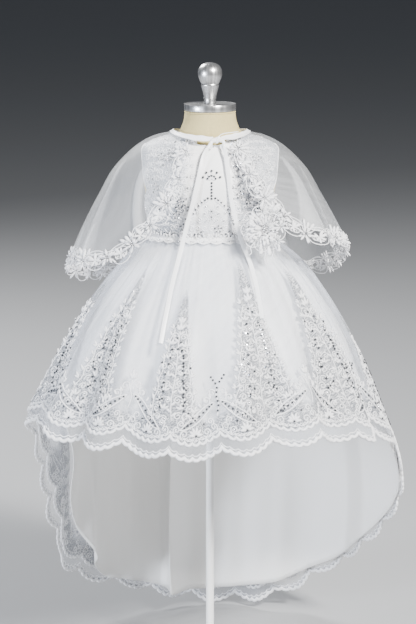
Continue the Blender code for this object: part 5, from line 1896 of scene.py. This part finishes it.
        for turn, length in ((0, 0.015), (30, 0.012), (-30, 0.012)):
            work.leaves(tip[:2], float(turn), length, 0.0046)
        work.beads(on_hem(middle + np.array([-0.8, 0.9, 0.1]), high - np.array([0.022, 0.027, 0.036])),
            0.0034, True, 0.001)
        work.beads(tip[2:], 0.0026)

    def valley(self, work: Needlework, middle: float, reach: float, forked: bool) -> None:
        """Between two flames: a stem with a bud or a forked spray, and two long feathers with crystals.

        Args:
            work: Where it is worked.
            middle: Its angle.
            reach: How many degrees the feathers run to each side.
            forked: Whether the stem ends in a fork of crystals.
        """
        stem = through(((middle, 0.044), (middle + 0.5, 0.058), (middle - 0.3, 0.072), (middle, 0.084)), 14)
        work.cord(on_hem(stem[:, 0], stem[:, 1])[None], 0.0016)
        top = on_hem(np.array([middle]), np.array([0.082]))
        if forked:
            for side in (-1.0, 1.0):
                fork = on_hem(middle + side * np.array([0.75, 1.6, 2.4]), np.array([0.088, 0.093, 0.0975]))
                work.beads(fork, 0.0036, True)
            work.beads(on_hem(stem[2:, 0], stem[2:, 1])[::2], 0.0036, True, 0.0008)
        else:
            for turn, length in ((0, 0.017), (26, 0.013), (-26, 0.013)):
                work.leaves(top, float(turn), length, 0.0052)
        for side in (-1.0, 1.0):
            spine = through(((middle + side * 0.8, 0.064), (middle + side * reach * 0.35, 0.058),
                (middle + side * reach * 0.72, 0.046), (middle + side * reach, 0.034)), 22)
            place = on_hem(spine[:, 0], spine[:, 1])
            work.beads(place[2:-3:2], 0.0036, True, 0.0004)
            bow = 0.0066 * np.sin(np.linspace(0.0, math.pi, 22))
            for sign in (-1.0, 1.0):
                work.cord((place + joined(0 * bow, sign * bow))[None], 0.002, ROUND_CORD)
            work.leaves(place[3:-2:3] + (0.0, 0.0078), side * -28.0, 0.01, 0.004)
            curl = on_hem(np.array([middle + side * 2.0, middle + side * 4.1]), np.array([0.077, 0.07]))
            work.volutes(curl, np.array([0.0062, 0.0054]), 90.0 + side * 90.0, -side, 0.0017)

    def work_panel(self, name: str, start: float, seed: int) -> list[Piece]:
        """All the needlework of one panel.

        Args:
            name: The panel's name.
            start: The angle of its first side seam.
            seed: The seed of its unevenness.

        Returns:
            The pieces.
        """
        rng = np.random.default_rng(seed)
        work = Needlework(self.surface, SHEER_BASE + SHEER_WALL)
        self.edging(work, start)
        self.scallop_fans(work, start)
        order = sorted(FLAMES)
        for k, (middle, width, high) in enumerate(order):
            if 0.0 <= (middle - start) % 360.0 < 180.0:
                self.flame(work, middle, width, high, rng)
            following = order[(k + 1) % len(order)]
            gap = (following[0] - middle) % 360.0
            valley = middle + gap / 2
            if 0.0 <= (valley - start) % 360.0 < 180.0:
                self.valley(work, turned(valley), 0.4 * gap, k % 2 == 0)
        return work.finish(name, "embroidered_organza")

    def build(self) -> None:
        """Builds both panels and their needlework."""
        for name, start, seed, flat, area in (("overskirt_front", SIDE_SEAM - 180.0, 3, (0.84, 0.4), 0.201),
                ("overskirt_train", SIDE_SEAM, 4, (0.85, 0.76), 0.443)):
            cloth = self.panel(name, start)
            pieces = self.work_panel(name, start, seed)


# --------------------------------------------------------------------------------------------------
# Cape


@dataclass
class Cape:
    """The short organza cape with its flower lace, its flower cluster and its neck binding."""

    surface: CapeSurface
    columns: int = 400
    rows: int = 60
    repeat: float = 0.0375
    binding_columns: int = 160
    binding_rows: int = 14

    def body(self) -> Piece:
        """The cape's sheer cloth.

        Returns:
            The object.
        """
        place = self.surface.rows(self.columns, np.linspace(0.0, 1.0, self.rows))
        base, normal = self.surface.point(place), self.surface.normal(place)
        base = base + SHEER_BASE * normal
        inside = self.surface.pleated(self.surface.direction(place), place[..., 1])
        pile = Pile()
        pile.skins(base + SHEER_WALL * normal, base, laid_out(base), joined(inside, 0.0 * inside),
            grid_faces(self.rows, self.columns + 1)[:, ::-1])
        return pile.piece("cape_organza", ORGANZA, "organza", ["cape_body"])

    def lace(self) -> list[Piece]:
        """The flower lace: a flower at each repeat, joined by leaves and open loops of cord.

        Returns:
            The pieces.
        """
        edge = EdgeSurface(self.surface)
        work = Needlework(edge, 0.0008)
        total = edge.run[-1]
        count = int((total - 0.03) / self.repeat) + 1
        along = 0.016 + np.arange(count) * (total - 0.032) / (count - 1)
        rng = np.random.default_rng(7)
        centre = joined(along, 0.01 + 0.0008 * np.sin(2.1 * np.arange(count)))
        turn = rng.uniform(0.0, 45.0, count)
        work.flowers(centre[::2], 0.0158, 6, turn[::2], 8.0, 0.25)
        work.flowers(centre[1::2], 0.0148, 5, turn[1::2], 11.0, 0.29)
        work.flowers(centre, 0.0098, 6, turn + 30.0, 26.0, 0.24, lift=0.0012)
        for spin, length in ((14.0, 0.0165), (98.0, 0.014), (192.0, 0.016), (281.0, 0.0145)):
            work.leaves(centre, spin + turn, length * rng.uniform(0.85, 1.05, count), 0.003, LEAF)
        for k in range(5):
            swing = np.radians(72.0 * k + 3.0 * turn)
            ring = 0.0022 * joined(np.cos(swing), np.sin(swing))
            work.beads(edge.spread(centre, ring[:, None])[:, 0], 0.0019, k % 2 == 0, 0.0028)
        between = joined((along[1:] + along[:-1]) / 2, np.full(count - 1, 0.01))
        fans = ((180, 0.015, 0.0062, 0.002), (138, 0.014, 0.0052, 0.001), (222, 0.014, 0.0052, 0.001),
            (24, 0.012, 0.0046, -0.001), (-28, 0.012, 0.0046, -0.001), (88, 0.012, 0.0044, 0.0),
            (-92, 0.012, 0.0044, 0.0))
        for turn_to, length, width, shift in fans:
            turns = turn_to + rng.uniform(-22, 22, count - 1)
            lengths = length * rng.uniform(0.75, 1.1, count - 1)
            work.leaves(between + (0.0, shift), turns, lengths, 0.8 * width, PETAL, 6.0)
        swing = np.linspace(0.0, math.pi, 12)
        bows = ((1.0, 0.0125, 0.012, 0.0165), (-1.0, 0.0085, 0.008, 0.015), (1.0, 0.011, 0.0062, 0.012))
        for side, start, bulge, reach in bows:
            arch = joined(reach * -np.cos(swing), side * bulge * np.sin(swing))
            middle = joined(between[:, 0], np.full(count - 1, start))
            arches = arch * rng.uniform((0.8, 0.65), (1.08, 1.15), (count - 1, 1, 2))
            work.cord(edge.spread(middle, arches), 0.0013, ROUND_CORD)
        inner = centre * (1.0, 0.0)
        for turn_to, length, shift in ((22.0, 0.015, 0.004), (-26.0, 0.0135, -0.004), (-2.0, 0.012, 0.0)):
            work.leaves(inner[::2] + (shift, 0.003), turn_to + 180.0, length, 0.0048, PETAL, 8.0)
        swing = np.linspace(0.0, 1.0, 12)
        curl = joined(0.0185 * swing, -0.0085 * np.sin(math.pi * swing) ** 0.8 + 0.004)
        curls = np.broadcast_to(curl * (2.0, 1.0), (count - 1, 12, 2))
        work.cord(edge.spread(inner[:-1], curls), 0.0013, ROUND_CORD)
        work.volutes(between + (0.005, 0.0035), 0.0034, 0.0, 1.0, 0.0011)
        work.volutes(between + (-0.005, 0.0035), 0.0034, 180.0, -1.0, 0.0011)
        line = joined(np.linspace(0.001, total - 0.001, 620), 0.0004 + 0 * np.arange(620))
        work.cord(line[None], 0.0016, ROUND_CORD)
        return work.finish("cape_lace", "white_lace", ["cape_lace"])

    def cluster(self) -> list[Piece]:
        """The flower cluster: tiers of petals, steeper towards the middle, with beads and hanging leaves.

        Returns:
            The pieces.
        """
        plane = FlatSurface((0.0765, -0.1045, 0.69), 80.0, 14.0)
        work = Needlework(plane, 0.0006)
        rng = np.random.default_rng(5)
        tiers = ((0.033, 20.0, 176.0, 12, 0.0062, 6.0, 0.0),
            (0.0262, 14.0, 190.0, 11, 0.0052, 14.0, 0.0014), (0.02, 0.0, 200.0, 10, 0.0044, 24.0, 0.0026),
            (0.023, 196.0, 375.0, 10, 0.004, 12.0, 0.001), (0.015, 190.0, 360.0, 8, 0.0036, 30.0, 0.0024))
        for radius, first, last, count, width, tilt, lift in tiers:
            turns = np.linspace(first, last, count) + rng.uniform(-6.0, 6.0, count)
            foot = np.radians(turns + 90.0)
            start = 0.0045 * joined(np.cos(foot), np.sin(foot)) + (0.002, -0.001)
            work.leaves(start, turns, (radius - 0.0045) * rng.uniform(0.86, 1.06, count), width, PETAL,
                tilt, lift)
        work.beads(rng.normal(0.0, (0.0075, 0.0042), (16, 2)) + (0.003, -0.005), 0.002, True, 0.008)
        work.beads(rng.normal(0.0, (0.008, 0.006), (14, 2)) + (0.001, 0.001), 0.0021, lift=0.0075)
        swing = np.radians([152.0, 96.0, 48.0, 4.0, -46.0, 205.0])
        out = np.array([0.0265, 0.025, 0.027, 0.0255, 0.026, 0.0265])[:, None]
        spots = out * joined(np.cos(swing), np.sin(swing))
        work.flowers(spots[1:5], 0.012, 6, np.array([14.0, 30.0, 8.0, 22.0]), 16.0, 0.26, lift=0.0045)
        work.flowers(spots, 0.0078, 5, np.array([20.0, 4.0, 10.0, 28.0, 2.0, 15.0]), 30.0, 0.28,
            lift=0.0055)
        work.beads(spots, 0.0022, lift=0.0075)
        turns = np.radians(np.arange(9) * 40.0 + 12.0)
        tails = (((0.0, -0.022), (0.002, -0.033), (0.0, -0.044), (0.003, -0.052)),
            ((0.01, -0.02), (0.014, -0.031), (0.012, -0.04), (0.016, -0.047)),
            ((-0.012, -0.018), (-0.02, -0.026), (-0.019, -0.034), (-0.024, -0.038)))
        work.cord(np.stack([through(line, 12) for line in tails]), 0.0015, ROUND_CORD)
        sweep = np.linspace(-0.5, 1.0, 12)
        out = 0.024 + 0.0095 * np.sin(math.pi * (sweep + 0.5) / 1.5)
        swings = [t + sweep * 0.75 for t in turns]
        loops = [joined(out * np.cos(swing), out * np.sin(swing)) for swing in swings]
        work.cord(np.stack(loops), 0.0013, ROUND_CORD)
        drops = np.array([[-0.004, -0.022], [0.006, -0.024], [0.016, -0.02]])
        work.leaves(drops, np.array([172.0, 186.0, 204.0]), 0.017, 0.007, PETAL, 10.0)
        return work.finish("cape_cluster", "white_lace", ["cape_rosette"])

    def binding(self) -> Piece:
        """The satin band round the neck: a curved strip that folds over the cape's neck edge.

        Returns:
            The object.
        """
        angle = np.linspace(16.0, 364.5, self.binding_columns)
        near = bell(turned(angle - 10.0) / 52.0)
        reach = 0.013 + 0.022 * near
        edge = self.surface.at_angle(angle, 0.0 * angle)
        turn = np.radians(angle)
        out = joined(np.sin(turn), -np.cos(turn), 0 * turn)
        up = np.array([0.0, 0.0, 1.0])
        wave = 0.0005 * np.sin(angle * 0.33)[:, None] * near[:, None]
        controls = [edge + (0.0036 + 0.0012 * near)[:, None] * up - 0.0002 * out + wave * up,
            edge + 0.003 * up + 0.0009 * out, edge + 0.0018 * up + 0.0016 * out + wave * out]
        for share in (0.5, 1.0):
            low = self.surface.at_angle(angle, share * reach)
            slope = self.surface.at_angle(angle, share * reach + 0.004) - low
            rise = unit(np.cross(np.gradient(low, axis=0), slope))
            rise = rise * np.where(rise[:, 2:] < 0, -1.0, 1.0)
            controls.append(low + (0.0021 + share * wave) * rise)
        rows = self.binding_rows
        path = through(np.stack(controls).reshape(5, -1), rows).reshape(rows, -1, 3)
        across = unit(np.cross(np.gradient(path, axis=1), np.gradient(path, axis=0)))
        facing = np.einsum("ijk,jk->ij", across, out)[..., None] + across[..., 2:]
        across = across * np.where(facing < 0, -1.0, 1.0)
        column = np.arange(self.binding_columns)
        pinch = 1.0 - 0.45 * bell(np.minimum(column, column[::-1]) / 5.0)
        path = path.mean(0) + (path - path.mean(0)) * pinch[None, :, None]
        swell = 0.0005 * np.sin(np.linspace(0.0, math.pi, rows))[:, None, None]
        pile = Pile()
        pile.skins(path + swell * across, path - 0.0009 * across, laid_out(path))
        return pile.piece("neck_binding_satin", RIBBON, "satin_ribbon", ["neck_binding"], 60.0)

    def knot(self) -> Piece:
        """The knot: three crossed wraps, each a bulged oval, two short strands and a cord behind.

        Returns:
            The object.
        """
        pile = Pile()
        wraps = ((16.0, 0.005, (0.007, -0.0602, 0.8128)), (-14.0, 0.005, (0.014, -0.0604, 0.8136)),
            (66.0, 0.0038, (0.0112, -0.0618, 0.8134)))
        strands = ((0.005, FLAT_BAND, ((0.004, -0.0606, 0.8132), (0.0018, -0.063, 0.8098),
            (-0.0006, -0.0642, 0.8056), (-0.0038, -0.0664, 0.8008))),
            (0.0046, FLAT_BAND, ((0.0172, -0.0606, 0.814), (0.0196, -0.063, 0.8104),
            (0.0208, -0.0642, 0.8056), (0.0207, -0.0668, 0.8006))),
            (0.0013, ROUND_CORD, ((0.01, -0.059, 0.814), (0.0142, -0.057, 0.8192), (0.0196, -0.053, 0.8216),
            (0.03, -0.0465, 0.8224), (0.042, -0.035, 0.8226))))
        for lean, size, centre in wraps:
            theta = np.linspace(0.0, math.pi, 15)[1:-1]
            phi = np.arange(24) * 2 * math.pi / 24
            bulge = 1.0 + 0.1 * np.cos(5 * phi)[None, :] * np.sin(theta)[:, None]
            x = 1.45 * size * np.cos(theta)[:, None] + 0 * phi
            thick = np.sin(theta)[:, None] ** 0.7
            y = 0.62 * size * thick * np.cos(phi) * bulge
            z = 0.72 * size * thick * np.sin(phi) * bulge
            turn = math.radians(lean)
            along = 1.45 * size * np.array([math.cos(turn), 0.0, math.sin(turn)])
            leant, risen = x * math.cos(turn) - z * math.sin(turn), x * math.sin(turn) + z * math.cos(turn)
            rings = joined(leant, y, risen)
            pile.stamp(Stamp.of_rings(rings + centre, along + centre, centre - along), ORIGIN, (1, 1, 1))
        for width, profile, strand in strands:
            route = through(strand, 14)[None]
            front = np.broadcast_to(np.array([0.0, -1.0, 0.15]), route.shape)
            pile.cord(route, front, width, profile)
        return pile.piece("tie_knot_satin", RIBBON, "satin_ribbon", ["tie_knot"])

    def build(self) -> None:
        """Builds the cape, its lace, its flower cluster, its neck binding and its knot."""
        body = self.body()
        pieces = self.lace() + self.cluster() + [self.binding(), self.knot()]


@dataclass
class RibbonTie:
    """One free end of the flat satin ribbon, hanging from the knot."""

    name: str
    route: tuple
    turns: tuple
    thickness: float = 0.0004
    stations: int = 60

    def build(self) -> None:
        """Carries a thin flat section along the route, turning it a little on its way down."""
        line = through(self.route, self.stations)
        ahead = unit(np.gradient(line, axis=0))
        facing = unit(np.cross(ahead, np.array([0.0, -1.0, 0.0])))
        front = unit(np.cross(facing, ahead))
        turn = np.radians(through(np.array(self.turns)[:, None], self.stations))
        side = facing * np.cos(turn) + front * np.sin(turn)
        up = front * np.cos(turn) - facing * np.sin(turn)
        share = np.array([-1.0, -0.94, -0.5, 0.0, 0.5, 0.94, 1.0])
        dome = 0.0003 * (1.0 - share**2)
        pile = Pile()
        half = 0.5 * RIBBON_WIDTH
        across = half * share[None, :, None] * side[:, None]
        top = line[:, None] + across + dome[None, :, None] * up[:, None]
        run = run_along(line[None])[0]
        uv = np.stack(np.broadcast_arrays(share * half, run[:, None]), axis=-1)
        faces = grid_faces(self.stations, len(share))
        normal = np.cross(top[1, 0] - top[0, 0], top[0, 1] - top[0, 0])
        if normal @ up[0] < 0:
            faces = faces[:, ::-1]
        back = top - self.thickness * up[:, None]
        pile.skins(top, back, uv, faces=faces)
        piece = pile.piece(self.name + "_ribbon", RIBBON, "satin_ribbon", [self.name], 60.0)


# --------------------------------------------------------------------------------------------------
# Studio


@dataclass
class Studio:
    """A pale floor, soft lights and the camera."""

    camera_at: tuple[float, float, float] = (-0.003, -3.2, 1.1685)
    look_at: tuple[float, float, float] = (-0.003, 0.0, 0.5475)
    lens: float = 125.4
    sensor_width: float = 36.0
    lit: tuple[float, float, float] = (0.0, 0.0, 0.45)
    floor_reach: float = 120.0
    floor_drop: float = 0.0005

    def place(self, data: bpy.types.ID, at: Sequence[float], aim: Sequence[float]) -> Piece:
        """Puts a camera or a light at a place, pointed at another.

        Args:
            data: The camera or the light.
            at: Its place.
            aim: The place that it is pointed at.

        Returns:
            The object.
        """
        made = bpy.data.objects.new(data.name, data)
        made.location = at
        made.rotation_euler = (Vector(aim) - Vector(at)).to_track_quat("-Z", "Y").to_euler()
        bpy.context.scene.collection.objects.link(made)
        return made

    def camera(self) -> None:
        """Makes the camera and points it at the gown."""
        data = bpy.data.cameras.new("camera")
        data.lens = self.lens
        data.sensor_width = self.sensor_width
        bpy.context.scene.camera = self.place(data, self.camera_at, self.look_at)

    def light(self, name: str, at: tuple[float, float, float], size: tuple[float, float], power: float,
            colour: Colour = (1.0, 1.0, 1.0)) -> None:
        """One soft oblong light, pointed at the gown.

        Args:
            name: The light's name.
            at: Its place.
            size: Its width and height.
            power: Watts.
            colour: Its colour.
        """
        data = bpy.data.lights.new(name, "AREA")
        data.shape = "RECTANGLE"
        data.size, data.size_y = size
        data.energy = power
        data.color = colour
        self.place(data, at, self.lit)

    def build(self) -> None:
        """Makes the floor, the lights and the pale surroundings."""
        reach = self.floor_reach
        corners = np.array([(-reach, -reach, 0.0), (reach, -reach, 0.0), (reach, reach, 0.0),
            (-reach, reach, 0.0)])
        mesh = bpy.data.meshes.new("floor")
        mesh.from_pydata([tuple(c) for c in corners], [], [(0, 1, 2, 3)])
        mesh.materials.append(FLOOR.material())
        floor = bpy.data.objects.new("floor", mesh)
        floor.location.z = -self.floor_drop
        bpy.context.scene.collection.objects.link(floor)
        self.light("key light", (1.7, -2.3, 2.8), (0.5, 0.7), 480.0, (1.0, 0.985, 0.955))
        self.light("fill light", (-2.75, -1.8, 0.72), (0.5, 0.8), 165.0, (0.84, 0.9, 1.0))
        self.light("back light", (-1.4, 2.2, 2.6), (1.0, 1.0), 170.0)
        world = bpy.data.worlds.new("surroundings")
        world.use_nodes = True
        world.node_tree.nodes["Background"].inputs["Color"].default_value = (0.76, 0.82, 0.92, 1.0)
        world.node_tree.nodes["Background"].inputs["Strength"].default_value = 0.13
        bpy.context.scene.world = world


def main() -> None:
    """Loads the frame and builds every piece."""
    logging.basicConfig(level=logging.INFO, format="%(message)s")
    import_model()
    studio = Studio()
    studio.camera()
    RibbonTie("tie_left", TIE_LEFT, (30.0, 12.0, 4.0, -6.0, -4.0, 8.0)).build()
    RibbonTie("tie_right", TIE_RIGHT, (-24.0, -10.0, 2.0, 10.0, 4.0, -8.0)).build()
    DressForm().build()
    Bodice().build()
    WaistLace().build()
    creases = np.concatenate([gather_creases(SIDE_SEAM - 180.0, 1), gather_creases(SIDE_SEAM, 2)])
    SatinSkirt(SkirtSurface(SATIN, SATIN_FOLDS, creases * (1.0, 1.0, -0.45, 1.0))).build()
    Overskirt(SkirtSurface(OVERSKIRT, OVERSKIRT_FOLDS, creases, True)).build()
    Cape(CapeSurface(CAPE_FOLDS)).build()
    studio.build()


if __name__ == "__main__":
    main()
